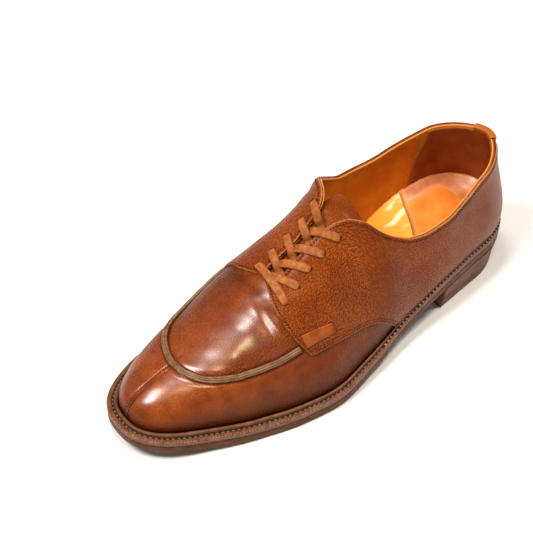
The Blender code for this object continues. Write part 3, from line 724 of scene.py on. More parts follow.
class Finish:
    """A procedural finish, built node by node and kept under its name."""

    def __init__(self, name):
        material = bpy.data.materials.new(name)
        material.use_nodes = True
        self.tree = material.node_tree
        self.shader = self.tree.nodes["Principled BSDF"]
        self.place = self.node("TexCoord").outputs["Object"]
        FINISHES[name] = material

    def node(self, kind, settings=(), **sockets):
        """A node with its settings, and sockets that are set or linked."""
        made = self.tree.nodes.new("ShaderNode" + kind)
        for key, value in dict(settings).items():
            setattr(made, key, value)
        for key, value in sockets.items():
            self.set(made.inputs[key.replace("_", " ")], value)
        return made

    def set(self, socket, value):
        """Set a socket to a value, or link it to another."""
        if isinstance(value, bpy.types.NodeSocket):
            self.tree.links.new(value, socket)
        else:
            socket.default_value = value

    def maths(self, operation, *values):
        """One sum of numbers."""
        made = self.node("Math", {"operation": operation})
        for socket, value in zip(made.inputs, values):
            self.set(socket, value)
        return made.outputs[0]

    def times(self, first, second):
        """Two numbers multiplied."""
        return self.maths("MULTIPLY", first, second)

    def plus(self, first, second):
        """Two numbers added."""
        return self.maths("ADD", first, second)

    def spread(self, value, low, high, start=0.0, end=1.0):
        """A number carried from one range to another, eased."""
        made = self.node("MapRange", {"interpolation_type": "SMOOTHSTEP"}, Value=value)
        for socket, number in zip(list(made.inputs)[1:5], (low, high, start, end)):
            socket.default_value = number
        return made.outputs[0]

    def mix(self, share, first, second):
        """One colour over another."""
        made = self.node("Mix", {"data_type": "RGBA"})
        for number, value in ((0, share), (6, first), (7, second)):
            if isinstance(value, tuple):
                value = (*value, 1)
            self.set(made.inputs[number], value)
        return made.outputs[2]

    def noise(self, size, detail, stretch=(1, 1, 1)):
        """Noise whose blotches are about a size in millimetres."""
        scale = tuple(1 / (size * MM * part) for part in stretch)
        place = self.node("Mapping", Vector=self.place, Scale=scale).outputs[0]
        return self.node("TexNoise", Vector=place, Scale=1.0, Detail=detail).outputs[0]

    def clouds(self, size, detail, low, high, stretch=(1, 1, 1), most=1.0):
        """Noise with more contrast, from 0 to most."""
        return self.spread(self.noise(size, detail, stretch), low, high, 0.0, most)

    def field(self, name):
        """A number kept at the mesh's points."""
        return self.node("Attribute", {"attribute_name": name}).outputs["Fac"]

    def layer(self, colour, tone, field, amount):
        """A tone laid over a colour where a field says, by a number or in clouds."""
        if isinstance(amount, tuple):
            amount = self.clouds(*amount)
        return self.mix(self.times(self.field(field), amount), colour, tone)

    def pebbles(self, size, long):
        """Round pebbles of a size on the leather laid flat, drawn out along the foot."""
        flat = self.node("CombineXYZ", X=self.field("along"), Y=self.field("up")).outputs[0]
        place = self.node("Mapping", Vector=flat, Scale=(1 / (size * long), 1 / size, 1)).outputs[0]
        made = self.node("TexVoronoi", {"voronoi_dimensions": "2D"}, Vector=place, Scale=1.0)
        return self.spread(made.outputs["Distance"], 0.72, 0.12)

    def pits(self, colour, tone, pebble, depth):
        """A colour with darker pits between its pebbles."""
        hollow = self.times(self.maths("SUBTRACT", 1.0, pebble), self.times(self.field("grain"), depth))
        return self.mix(hollow, colour, tone)

    def relief(self, pebble, size, share):
        """Height of the pebbles with fine grain of a size on them."""
        coarse = self.times(pebble, self.field("grain"))
        return self.plus(coarse, self.times(self.noise(size, 3), share))

    def bump(self, height, depth):
        """Relief of a depth in millimetres."""
        made = self.node("Bump", Strength=1.0, Distance=depth * MM, Height=height)
        self.tree.links.new(made.outputs[0], self.shader.inputs["Normal"])

    def surface(self, colour, rough, **constants):
        """The shader's own sockets; rough is a number, or a noise's size and detail and a range."""
        if isinstance(rough, tuple):
            size, detail, low, high = rough
            rough = self.spread(self.noise(size, detail), 0.3, 0.7, low, high)
        self.set(self.shader.inputs["Base Color"], colour)
        self.set(self.shader.inputs["Roughness"], rough)
        for key, value in constants.items():
            self.shader.inputs[SOCKETS[key]].default_value = value


def calf_smooth():
    """Polished calf of the vamp and toe: fine grain, creases, darker at the welt from burnished leather
    and painted shade, and painted shade in its grooves.
    """
    f = Finish("calf_smooth")
    colour = f.mix(f.clouds(26, 4, 0.36, 0.66), (0.215, 0.032, 0.003), (0.315, 0.060, 0.0055))
    colour = f.mix(f.clouds(8, 5, 0.42, 0.76, most=0.65), colour, (0.11, 0.015, 0.002))
    pebble = f.pebbles(1.7, 0.8)
    colour = f.pits(colour, (0.10, 0.018, 0.004), pebble, 0.5)
    # burnishing and painted shade: darker where the mesh's field says so, at the foot, in grooves and
    # beside the quarters
    colour = f.layer(colour, (0.050, 0.0075, 0.0012), "burnish", 0.92)
    wrinkle = f.times(f.noise(5, 2, (0.35, 1.3, 1.0)), f.times(f.field("grain"), 1.1))
    f.bump(f.plus(f.relief(pebble, 0.5, 0.25), wrinkle), 0.6)
    f.set(f.shader.inputs["Coat Weight"], f.spread(f.field("burnish"), 0.05, 0.5, 0.8, 0.1))
    f.surface(colour, (9, 4, 0.36, 0.48), coat_rough=0.24, coat_ior=1.6,
              specular=0.28, tint=RUDDY)


def calf_grain():
    """Pebbled calf of the quarters and tongue, smoother at the heel, with a pale cut edge and painted
    glints on its pebble tops.
    """
    f = Finish("calf_grain")
    colour = f.mix(f.clouds(24, 4, 0.36, 0.66), (0.205, 0.031, 0.003), (0.29, 0.054, 0.005))
    pebble = f.pebbles(1.25, 1.3)
    colour = f.pits(colour, (0.070, 0.010, 0.002), pebble, 0.52)
    # painted highlight: pebble tops lightened to stand in for the glints on them
    painted_tops_glint = f.times(f.spread(pebble, 0.55, 1.0), f.times(f.field("grain"), 0.12))
    colour = f.mix(painted_tops_glint, colour, (0.43, 0.115, 0.022))
    # darker where the mesh's field says: burnishing and painted shade low down and in the groove by the
    # cut edges, and round the heel
    colour = f.layer(colour, (0.050, 0.010, 0.003), "burnish", 0.85)
    colour = f.layer(colour, (0.50, 0.19, 0.05), "edge", 1.0)
    f.bump(f.relief(pebble, 0.6, 0.12), 0.6)
    f.surface(colour, (8, 4, 0.36, 0.46), coat=0.08, coat_rough=0.22, specular=0.3,
              tint=RUDDY)


def sock_leather():
    """Heel sock: orange middle, shiny salmon rim."""
    f = Finish("sock_leather")
    middle = f.mix(f.clouds(12, 4, 0.35, 0.7), (0.63, 0.160, 0.018), (0.72, 0.215, 0.031))
    rim = f.mix(f.clouds(9, 4, 0.35, 0.7), (0.46, 0.14, 0.05), (0.60, 0.22, 0.09))
    colour = f.layer(f.mix(f.field("rim"), middle, rim), (0.78, 0.36, 0.10), "edge", 1.0)
    f.bump(f.noise(0.9, 4), 0.05)
    f.surface(colour, (6, 4, 0.3, 0.45), coat=0.15, coat_rough=0.25, specular=0.3)


def lining_leather():
    """Tan lining, rubbed darker in places, paler at the collar's edge."""
    f = Finish("lining_leather")
    colour = f.mix(f.clouds(22, 5, 0.35, 0.7), (0.46, 0.098, 0.004), (0.58, 0.155, 0.010))
    colour = f.mix(f.clouds(4, 5, 0.5, 0.8, most=0.3), colour, (0.26, 0.052, 0.004))
    colour = f.layer(colour, (0.62, 0.25, 0.05), "edge", 1.0)
    f.bump(f.noise(0.8, 4), 0.07)
    f.surface(colour, (7, 4, 0.45, 0.62), specular=0.2, tint=RUDDY)


def heel_leather():
    """Stacked leather heel: faint lifts under dark wax, scuffed underneath."""
    f = Finish("heel_leather")
    lifts = f.clouds(2.6, 2, 0.35, 0.65, (14, 14, 1))
    colour = f.mix(lifts, (0.095, 0.030, 0.015), (0.160, 0.056, 0.032))
    colour = f.layer(colour, (0.16, 0.09, 0.055), "under", (6, 6, 0.45, 0.7))
    f.bump(f.plus(f.noise(0.8, 5), f.times(lifts, 0.2)), 0.10)
    f.surface(colour, (4, 4, 0.42, 0.58), specular=0.25, tint=RUDDY)


def plain(name, clouds, dark, light, layers, relief, rough, **constants):
    """Two tones in clouds, tones laid over them where fields say, and relief (size, detail, depth)."""
    f = Finish(name)
    colour = f.mix(f.clouds(*clouds), dark, light)
    for tone, field, amount in layers:
        colour = f.layer(colour, tone, field, amount)
    size, detail, depth = relief
    f.bump(f.noise(size, detail), depth)
    f.surface(colour, rough, **constants)


def thread(name, dark, light, rough):
    """Twisted waxed thread."""
    plain(name, (0.6, 3, 0.35, 0.65), dark, light, [], (0.35, 3, 0.05),
          (1.5, 2, rough, rough + 0.15), specular=0.2)


def floor_paint():
    """Pale floor."""
    f = Finish("floor_paint")
    f.surface(f.mix(f.noise(90, 3), (0.86, 0.86, 0.86), (0.90, 0.90, 0.90)), 0.85)


calf_smooth()
calf_grain()
sock_leather()
lining_leather()
heel_leather()
floor_paint()
# The heel's strip and tab: smooth, pale over its top, fading darker down its inside as painted shade
plain("calf_edge", (14, 4, 0.36, 0.68), (0.19, 0.030, 0.003), (0.26, 0.048, 0.005),
      [((0.36, 0.095, 0.012), "edge", 1.0), ((0.050, 0.010, 0.003), "burnish", 0.85)],
      (0.7, 4, 0.05), (8, 4, 0.38, 0.48), coat=0.16, coat_rough=0.25, specular=0.28, tint=RUDDY)
# The smooth patch at the quarter's corner
plain("patch_leather", (6, 4, 0.36, 0.68), (0.20, 0.037, 0.004), (0.29, 0.064, 0.008), [],
      (0.7, 4, 0.06), (4, 3, 0.34, 0.45), coat=0.3, coat_rough=0.2, specular=0.3, tint=RUDDY)
# Darker lining round the heel
plain("heel_lining_leather", (16, 5, 0.35, 0.7), (0.19, 0.033, 0.005), (0.29, 0.062, 0.010),
      [((0.38, 0.11, 0.02), "edge", 1.0)],
      (1.0, 4, 0.08), (7, 4, 0.38, 0.56), coat=0.08, coat_rough=0.3, specular=0.25, tint=RUDDY)
# Pale insole, white in streaks along the foot from wear and a painted sheen
plain("insole_leather", (20, 4, 0.35, 0.7), (0.75, 0.265, 0.028), (0.83, 0.345, 0.048),
      [((0.92, 0.70, 0.45), "worn", (10, 4, 0.5, 0.66, (2.2, 0.7, 1)))],
      (1.2, 4, 0.06), (6, 4, 0.4, 0.58), specular=0.3, tint=RUDDY)
# Rubbed dark piping with paler ridges, and painted shade in the hollows between them and along its foot
plain("piping_leather", (3, 5, 0.35, 0.7), (0.15, 0.062, 0.022), (0.26, 0.125, 0.052),
      [((0.030, 0.010, 0.003), "hollow", 1.0)],
      (0.7, 4, 0.08), (3, 4, 0.36, 0.52), coat=0.12, coat_rough=0.28, specular=0.3)
# Flat waxed lace, darker along its edges
plain("lace_cotton", (3, 5, 0.35, 0.7), (0.25, 0.066, 0.012), (0.39, 0.122, 0.027),
      [((0.14, 0.034, 0.008), "edge", 0.7)],
      (0.55, 4, 0.12), (2, 4, 0.55, 0.75), specular=0.2)
# Storm welt: rubbed bead and rim, painted shade in its groove, against the upper and underneath
plain("welt_leather", (6, 5, 0.35, 0.7), (0.090, 0.030, 0.012), (0.16, 0.060, 0.026),
      [((0.27, 0.115, 0.055), "edge", (1.2, 4, 0.42, 0.62)), ((0.022, 0.008, 0.003), "hollow", 1.0)],
      (0.8, 4, 0.09), (3, 4, 0.4, 0.56), coat=0.1, coat_rough=0.28, specular=0.28)
# Waxed sole edge, worn paler along its upper corner; scuffed underside
plain("sole_leather", (5, 5, 0.35, 0.7, (2, 2, 0.5)), (0.062, 0.021, 0.009), (0.115, 0.043, 0.019),
      [((0.19, 0.080, 0.034), "edge", (2, 4, 0.4, 0.65)),
       ((0.20, 0.105, 0.055), "under", (7, 6, 0.45, 0.7, (2.5, 0.8, 1)))],
      (0.9, 5, 0.10), (4, 4, 0.45, 0.62), specular=0.22, tint=RUDDY)
thread("dark_thread", (0.018, 0.005, 0.002), (0.04, 0.011, 0.004), 0.5)
thread("tan_thread", (0.30, 0.10, 0.03), (0.50, 0.20, 0.07), 0.5)
thread("welt_thread", (0.12, 0.050, 0.022), (0.28, 0.13, 0.065), 0.4)
thread("pale_thread", (0.26, 0.135, 0.08), (0.50, 0.30, 0.20), 0.4)
# painted shade: near-black beads set in the welt's holes
thread("shade", (0.010, 0.004, 0.002), (0.020, 0.007, 0.003), 0.7)


# Sole pieces

def rounded_edge(count, low, high, radius):
    """Heights up a rounded edge, with how far each is drawn in."""
    angle = np.linspace(0, np.pi / 2, count)
    foot = np.stack([low + radius * (1 - np.cos(angle)), radius * (1 - np.sin(angle))], -1)
    head = np.stack([high - radius * (1 - np.cos(angle)), radius * (1 - np.sin(angle))], -1)
    return np.concatenate([foot, head[::-1]])


def spine(stations):
    """Middle line of the sole, which the rounded ends fan out from."""
    s = along(stations, HEEL_SPINE, TOE_CENTRE + TOE_SPINE)
    return np.stack([s, np.zeros_like(s)], -1)


def toward(edge, middle, amount):
    """An edge drawn in towards the middle line."""
    return edge + unit(middle - edge) * amount


def make_outsole():
    """The outsole, rounded along both edges."""
    stations = ring_stations(1.3)
    shape = Shape()
    profile = rounded_edge(EDGE_STEPS, 0, SOLE, EDGE_ROUND)
    shares = np.linspace(0, FLAT_SHARE, 9)
    rows = len(shares)
    under = np.array([1.0] * rows + [0.6] + [0.0] * (len(profile) - 1 + rows))
    worn = np.array([0.0] * (rows + EDGE_STEPS) + [0.1, 0.5, 0.9, 1.0, 0.8] + [0.0] * rows)
    for side in SIDES:
        edge, middle = outline(stations, side), spine(stations)
        flats = [middle + (edge - middle) * share for share in shares]
        columns = [level(flat, tread(flat[:, 0])) for flat in flats]
        columns += [level(toward(edge, middle, drawn), tread(edge[:, 0]) + rise)
                    for rise, drawn in profile]
        columns += [level(flat, tread(flat[:, 0]) + SOLE) for flat in flats[::-1]]
        shape.grid(np.stack(columns, 1), under=under[None], edge=worn[None])
    shape.piece("outsole_leather", "sole_leather", "sole_leather", ["outsole"])


def make_heel():
    """The heel, drawn in towards its foot, with a slightly hollow wall and a flat breast."""
    stations = np.concatenate([np.linspace(0, 1, 30)[:-1],
                               np.linspace(1, body_station(HEEL_BREAST), 16)])
    shape = Shape()
    shares = np.linspace(0, FLAT_SHARE, 6)
    for side in SIDES:
        edge, middle = outline(stations, side), spine(stations)
        ahead = edge[:, :1] > HEEL_CENTRE
        back = HEEL_CENTRE + (edge[:, :1] - HEEL_CENTRE) * HEEL_TAPER
        foot = np.concatenate([np.where(ahead, edge[:, :1], back), edge[:, 1:] * HEEL_TAPER], 1)
        top = tread(edge[:, 0]) - GAP
        columns = [level(middle + (foot - middle) * share) for share in shares]
        for angle in np.linspace(0, np.pi / 2, EDGE_STEPS):
            flat = toward(foot, middle, EDGE_ROUND * (1 - np.sin(angle)))
            columns.append(level(flat, EDGE_ROUND * (1 - np.cos(angle))))
        for rise in np.linspace(0, 1, 14)[1:]:
            flat = toward(foot + (edge - foot) * rise, middle, HEEL_HOLLOW * np.sin(np.pi * rise))
            columns.append(level(flat, EDGE_ROUND + (top - EDGE_ROUND) * rise))
        flats = [middle + (edge - middle) * share for share in shares[::-1]]
        columns += [level(flat, tread(flat[:, 0]) - GAP) for flat in flats]
        points = np.stack(columns, 1)
        count = points.shape[1]
        under = np.array([1.0] * len(shares) + [0.5] + [0.0] * (count - len(shares) - 1))
        shape.grid(points, under=under[None])
        shape.add(points[-1], [list(range(count))], under=under)
    shape.piece("heel_block", "heel_leather", "heel_leather", ["heel"])


def insole_edge(stations, side):
    """Foot of the insole's rim, inside the lining."""
    return inset(stations, side, reach(stations, side) + WALL + 2 * GAP + INSOLE_CLEAR)


def insole_rim(stations, side):
    """Top of the insole's rim, which leans out with the lining round the heel."""
    edge = insole_edge(stations, side)
    s = edge[..., 0]
    height = seat(s) + curve(INSOLE, "thick", s) + curve(INSOLE, "curl", s)
    wall = lift(stations, share_at_height(stations, height, side), side,
                np.full(stations.shape, -WALL - INSOLE_RIM_IN))[..., :2]
    return edge + (wall - edge) * (1 - ease(s, 105, 140))[..., None]


def insole_top(flat):
    """Height of the insole over a place, curling up along its rim round the heel."""
    rim = np.concatenate([insole_rim(ring_stations(1.0), side) for side in SIDES])
    far, _ = nearest(level(flat), level(rim))
    s = flat[..., 0]
    curl = curve(INSOLE, "curl", s) * (1 - (far / INSOLE_CURL).clip(0, 1)) ** 2
    return seat(s) + curve(INSOLE, "thick", s) + curl


def make_insole():
    """The bed inside the shoe, pale in the waist from wear and a painted sheen."""
    stations = ring_stations(1.6)
    shares = np.linspace(0, 1, 15)
    shape = Shape()
    for side in SIDES:
        middle = spine(stations)[:, None]
        high, low = [
            middle + (edge(stations, side)[:, None] - middle) * shares[None, :, None]
            for edge in (insole_rim, insole_edge)]
        # wear and a painted sheen, in the waist towards the inner side
        worn = (1 - ease(np.abs(high[..., 0] - INSOLE_WEAR_AND_SHEEN), 6, 22)) * (1 - ease(high[..., 1], -22, 4))
        top = level(high, insole_top(high))
        bottom = level(low, seat(low[..., 0]))[:, ::-1]
        shape.grid(np.concatenate([top, bottom], 1),
                   worn=np.concatenate([worn, np.zeros_like(worn)], 1))
    shape.piece("insole_bed", "insole_leather", "insole_leather", ["insole"])


def make_heel_sock():
    """The sock under the heel, cut on a slant ahead of the heel and pressed in its middle."""
    ways, shares = np.linspace(0, 1, 44), np.linspace(0, 1, 22)
    shape = Shape()
    for side in SIDES:
        across = SOCK_WIDTH[0] + side * shares * SOCK_WIDTH[1]
        front = body_station(SOCK_CUT[0] + SOCK_CUT[1] * across + SOCK_CUT[2] * across ** 2)
        stations = ways[:, None] * front[None]
        share = np.broadcast_to(shares[None], stations.shape)
        rim, middle = insole_rim(stations, side), spine(stations)
        flat = middle + (rim - middle) * (share * 0.985)[..., None]
        base = insole_top(flat) + 0.05
        offset = np.abs(flat - SOCK_MIDDLE) - (np.array(SOCK_HALF) - SOCK_CORNER)
        beyond = span(offset.clip(0)) + offset.max(-1).clip(None, 0) - SOCK_CORNER
        thick = SOCK_THICK * np.sqrt(1 - (1 - ((1 - ways) * 25).clip(0, 1)) ** 2)[:, None]
        hollow = 0.4 * hump(beyond, 0, 0.8)
        front_edge = np.broadcast_to(ease(ways, 0.975, 1.0)[:, None], share.shape)
        top = level(flat, base + thick * (1 - hollow))
        bottom = level(flat, base)[:, ::-1]
        shape.grid(np.concatenate([top, bottom], 1),
                   rim=np.concatenate([ease(beyond, -0.8, 0.8)] * 2, 1),
                   edge=np.concatenate([front_edge] * 2, 1))
    shape.piece("heel_sock", "sock_leather", "insole_leather")


def welt_point(stations, side, out, height):
    """A point of the welt: its share of the width out from the upper, and height on the sole."""
    edge = outline(stations, side)
    width = reach(stations, side)
    inward = (inset(stations, side, width) - edge) / width[:, None]
    share = height / (3 * curve(FORM[side], "climb", edge[:, 0]))
    wall = skin(stations, share, side)
    lean = ((feather(stations, side) - wall)[:, :2] * inward).sum(1).clip(0)
    flat = edge + inward * ((width - 2 * GAP - lean) * (1 - out))[:, None]
    return level(flat, seat(flat[:, 0]) + height)


def welt_section():
    """The welt's section as shares and heights, with how much painted shade (deepest in its groove) and
    how much wear each point takes.
    """
    top = through(np.array([
        (0.03, 0.0, 0, 0, 0), (0.03, WELT + WELT_BEAD - 1.2, 0, 0.4, 0),
        (0.06, WELT + WELT_BEAD - 0.35, 0, 0.1, 0), (0.17, WELT + WELT_BEAD + 0.1, 0, 0, 0.1),
        (0.30, WELT + WELT_BEAD - 0.1, 0, 0, 0.1), (0.41, WELT + 0.5, 0, 0.3, 0),
        (0.46, WELT - 0.7, 0, 1, 0), (0.53, WELT - 0.9, 0, 1, 0), (0.585, WELT - 0.1, 0, 0.5, 0),
        (0.66, WELT + 0.1, 0, 0.1, 0.1), (0.86, WELT + 0.02, 0, 0, 0.6),
        (0.95, WELT - 0.22, 0, 0, 1), (1.0, WELT - 0.9, 0, 0, 0.8), (1.0, 0.3, 0, 0.2, 0)])
        * (WELT_WIDTH, 1, 1, 1, 1), 0.28)
    top[:, 0] /= WELT_WIDTH
    return top


def make_welt():
    """The storm welt, all round the sole."""
    stations = ring_stations(0.9)
    section = welt_section()
    shape = Shape()
    for side in SIDES:
        rows = [welt_point(stations, side, out, height) for out, height in section[:, :2]]
        rows += [welt_point(stations, side, 1.0, 0.0), welt_point(stations, side, 0.0, 0.0), rows[0]]
        # painted shade in the groove, against the upper and underneath
        hollow = np.concatenate([section[:, 3], [0.5, 1, 0]])
        worn = np.concatenate([section[:, 4], [0, 0, 0]])
        shape.grid(np.stack(rows, 1), hollow=hollow[None], edge=worn[None])
    shape.piece("storm_welt", "welt_leather", "welt_leather", ["welt"])


def make_welt_stitches():
    """Stitches in the welt's groove, paler on its rim round the heel, with dark beads as painted shade
    in their holes and in the wheel marks.
    """
    sewn, rungs, holes, marks = Shape(), Shape(), Shape(), Shape()
    ring = np.linspace(0, 3, 1500)
    for side in SIDES:
        s = outline(ring, side)[:, 0]
        # where each kind lies on the welt, and the sizes of its stitches and holes
        for shape, part, out, height, size, gap in (
                (sewn, s >= RUNGS_END, 0.495, WELT - 0.75, (2.3, 1.05, 1.2), (1.3, 1.9, 1.1)),
                (rungs, s < RUNGS_END, 0.60, WELT + 0.15, (1.5, 1.6, 0.7), (1.7, 1.5, 0.5))):
            stations = ring[part]
            up = np.broadcast_to((0.0, 0.0, 1.0), (len(stations), 3))
            line = welt_point(stations, side, out, height)
            stitch_line(shape, line, up, pitch=WELT_PITCH, size=size, sink=-0.1)
            at = evenly(line, WELT_PITCH)
            at = (at + 0.5 * len(stations) / len(at)).clip(0, len(stations) - 1.001)
            run = unit(pick(np.gradient(line, axis=0), at))
            # dark beads between the stitches: painted shade in their holes
            add_beads(holes, pick(line, at), run, pick(up, at), gap)
        front = ring[s >= RUNGS_END]
        rim, outer = welt_point(front, side, 0.80, WELT), welt_point(front, side, 0.98, WELT)
        at = evenly(rim, MARK_PITCH)
        away = unit(pick(outer - rim, at))
        up = np.broadcast_to((0.0, 0.0, 1.0), (len(at), 3))
        # dark ticks on the rim: painted shade in the wheel's indentations
        add_beads(marks, pick(rim * 0.65 + outer * 0.35, at), away, up, (1.1, 0.5, 0.4))
    sewn.piece("welt_stitches", "welt_thread", "welt_leather", weld=FINE_WELD)
    rungs.piece("heel_welt_stitches", "pale_thread", "welt_leather", weld=FINE_WELD)
    holes.piece("welt_holes", "shade", "welt_leather", weld=FINE_WELD)
    marks.piece("welt_marks", "dark_thread", "welt_leather", weld=FINE_WELD)


# Upper pieces

def laid_flat(station, share, side):
    """Place of each point on the leather laid flat, for its grain."""
    rows = np.linspace(0, 1, 61)
    line = skin(station[:, :1], np.broadcast_to(rows, (len(station), len(rows))), side)
    length = span(np.diff(line, axis=1)).cumsum(1)
    length = np.concatenate([0 * length[:, :1], length], 1)
    up = np.array([np.interp(a, rows, b) for a, b in zip(share, length)]) - length[:, -1:]
    return {"along": skin(station, share, side)[..., 0], "up": side * up}


def crease_relief(places):
    """Soft troughs with a ridge on each side, for places seen from above."""
    flat = level(places[..., :2])
    relief = np.zeros(places.shape[:-1])
    t = np.linspace(0, 1, 80)[:, None]
    for k in range(len(CREASES["depth"])):
        ends = [np.array([CREASES["s%d" % n][k], CREASES["y%d" % n][k], 0]) for n in range(3)]
        path = (ends[0] * (1 - t) * (1 - 2 * t) + ends[1] * 4 * t * (1 - t)
                + ends[2] * t * (2 * t - 1))
        depth, width = CREASES["depth"][k], CREASES["width"][k]
        distance, number = nearest(flat, path)
        ends_off = np.sin(np.pi * (number / (len(t) - 1)).clip(0.03, 0.97)) ** 0.6
        trough, ridge = hump(distance, 0, width), hump(distance, 2.1 * width, width)
        relief += depth * ends_off * (0.5 * ridge - trough)
    return relief


def wall_grids(stations, rows, side, drop):
    """Stations and shares of a wall from the sole to its edge, which may sit lower."""
    edge = trim(stations, side)
    free = (edge < 1 - 1e-6) | (stations < body_station(FACING_START))
    rise = span(steps(stations, edge - 2e-3, side)[1])
    edge = np.where(free, edge - drop / rise, edge)
    return *np.broadcast_arrays(stations[:, None], edge[:, None] * rows[None]), free


def add_wall(shape, sheet, side, outer, inner, free, **fields):
    """A closed wall between two heights over a sheet of stations and shares."""
    station, share = sheet
    faces = [lift(station, share, side, height) for height in (outer, inner)]
    for face in faces:
        shape.grid(face, **fields)
    for row, wanted in ((0, np.ones(len(free) - 1, bool)), (-1, free[1:] | free[:-1])):
        strip = np.stack([face[:, row] for face in faces], 1)
        flat = {key: np.broadcast_to(values, station.shape)[:, [row, row]].ravel()
                for key, values in fields.items()}
        quads = quads_over(len(free), 2)[wanted]
        shape.add(strip, quads, **flat)


def make_vamp():
    """Outer leather all round: creased vamp, apron and toe."""
    stations = ring_stations()
    rows = np.concatenate([np.linspace(0, 0.2, 9)[:-1], np.linspace(0.2, 1, 50)])
    apron = apron_line()[0]
    shape = Shape()
    for side in SIDES:
        station, share, free = wall_grids(stations, rows, side, COLLAR_STEP)
        places = skin(station, share, side)
        s = places[..., 0]
        on_vamp = ease(s, 186, 200)
        # creases, a trough beside the piping, a soft swell inside the apron and fine waves on it
        relief = np.where(s > 180, crease_relief(places), 0)
        from_apron = nearest(places, apron)[0]
        relief = relief - 0.5 * hump(from_apron, 2.7, 1.0) * on_vamp
        puff = 0.5 * ease(share, 0.45, 0.62) * ease(from_apron, 3, 12) * (1 - ease(s, 235, 250))
        relief = relief + puff * on_vamp * ease(s, 203, 212)
        y = places[..., 1]
        wave = np.sin(s / 3.4 + 1.7 * np.sin(y / 9)) * np.sin(y / 4.6 + s / 11)
        relief = relief + 0.12 * wave * on_vamp * ease(from_apron, 3, 9) * ease(share, 0.5, 0.65)
        # a trough on each side of the toe's seam, and nothing that shows past the quarters or welt
        toe_seam = np.where((station > 2.4) & (s > TOE_CENTRE + TOE_SPINE), np.abs(y), 9)
        relief = relief - 0.3 * hump(toe_seam, 1.3, 0.7)
        relief = relief * ease(share, 0.08, 0.16)
        relief = np.where(ease(s, 200, 205) < 0.5, relief.clip(-2, 0.2), relief)
        grain = 0.35 + 0.65 * ease(share, 0.52, 0.7) * (1 - 0.6 * ease(s, 240, 262))
        # dark foot from burnishing and painted shade (a little less at the lit toe tip), painted shade
        # on the inner side of the apron, a painted shadow beside the quarters, and painted shade in the
        # troughs
        dark = 0.95 * fade(share, BURNISH_SHADE_FOOT, 0.33, 1.5)
        dark = dark * (1 - 0.15 * ease(s, 280, 300))
        dark = dark + 0.42 * ease(-y, 8, 30) * on_vamp * ease(share, 0.4, 0.6)
        dark = dark + 0.4 * hump(s, 203, 3.5) * ease(share, 0.5, 0.65)
        # painted shade in the trough beside the piping and down the toe's seam
        groove = 0.75 * hump(from_apron, 2.3, 0.8) * on_vamp
        seam = 0.7 * hump(toe_seam, 1.1, 0.5)
        add_wall(shape, (station, share), side, relief, np.full(share.shape, -LEATHER), free,
                 grain=grain, burnish=(dark + groove + seam).clip(0, 1),
                 **laid_flat(station, share, side))
    item = shape.piece("vamp_leather", "calf_smooth", "calf_smooth", ["upper"])
    cut_eyelets(item)


def rounded(distance, radius):
    """A rounded edge: 0 at the edge, 1 a radius in."""
    return np.sqrt(1 - (1 - (distance / radius).clip(0, 1)) ** 2)


def make_lining():
    """The lining all round, rounded over at the collar."""
    stations = ring_stations(1.5)
    rows = np.concatenate([np.linspace(0, 0.97, 30)[:-1], np.linspace(0.97, 1, 7)])
    shape = Shape()
    middle, half = -(LINING_TOP + WALL) / 2, (WALL - LINING_TOP) / 2
    for side in SIDES:
        station, share, free = wall_grids(stations, rows, side, LINING_STEP)
        places = skin(station, share, side)
        below = span(places - places[:, -1:])
        swell = np.where(free[:, None], 0.15 + 0.85 * rounded(below, 0.7), 1)
        edge = np.where(free[:, None], 1 - ease(below, 0.2, 1.6), 0)
        add_wall(shape, (station, share), side, middle + half * swell, middle - half * swell, free,
                 edge=edge)
    item = shape.piece("lining", "lining_leather", "insole_leather")
    cut_eyelets(item)


def heel_lining_line(rows, side, distance=0.0):
    """Front edge of the heel's lining, up one side of the shoe."""
    stations = curve(HEEL_SEAM, "station", rows, key="share")
    shares = trim(stations, side) * rows
    if distance:
        return moved(stations, shares, side, -distance * side)
    return stations, shares


def make_heel_lining():
    """The heel's own lining, sewn over the other one."""
    rows = np.linspace(0.04, 0.98, 44)
    ways = np.linspace(0, 1, 34) ** 0.9
    shape = Shape()
    for side in SIDES:
        front = heel_lining_line(rows, side)[0]
        station = ways[:, None] * front[None]
        ring = np.linspace(0, station.max(), 60)
        share = np.interp(station, ring, trim(ring, side)) * rows[None]
        places = skin(station, share, side)
        edges = np.minimum(span(places - places[-1:]), span(places - places[:, -1:]))
        thick = HEEL_LINING * rounded(edges, 0.6)
        pale = 1 - ease(edges, 0.3, 1.2)
        outer = lift(station, share, side, np.full(share.shape, HEEL_LINING_OUT - WALL))
        inner = lift(station, share, side, HEEL_LINING_OUT - WALL - thick)
        shape.shell([outer, inner], [np.s_[:, 0]], edge=pale)
    shape.piece("heel_lining", "heel_lining_leather", "insole_leather")


def clustered(count, lengths, radius):
    """Shares across each strip, closer near its two edges."""
    turns = np.linspace(0, np.pi / 2, 6)
    near = (1 - np.cos(turns))[None] * np.minimum(radius / lengths, 0.3)[:, None]
    inside = near[:, -1:] + (1 - 2 * near[:, -1:]) * np.linspace(0, 1, count)[None, 1:-1]
    return np.concatenate([near, inside, 1 - near[:, ::-1]], 1)


def quarter_columns(side):
    """Stations of a quarter from the backstay to its front, closest at its front edge."""
    front = LOWER[side]["s"][-1]
    ring = ring_stations()
    ring = ring[(ring > BACKSTAY_EDGE) & (ring < body_station(front - QUARTER_NOSE))]
    near_front = front - QUARTER_NOSE * (1 - np.linspace(0, 1, 34)) ** 1.8
    near_back = BACKSTAY_EDGE + np.array([0, 0.002, 0.006, 0.012])
    ring = ring[ring > near_back[-1] + 0.01]
    return np.concatenate([near_back, ring, body_station(near_front)])


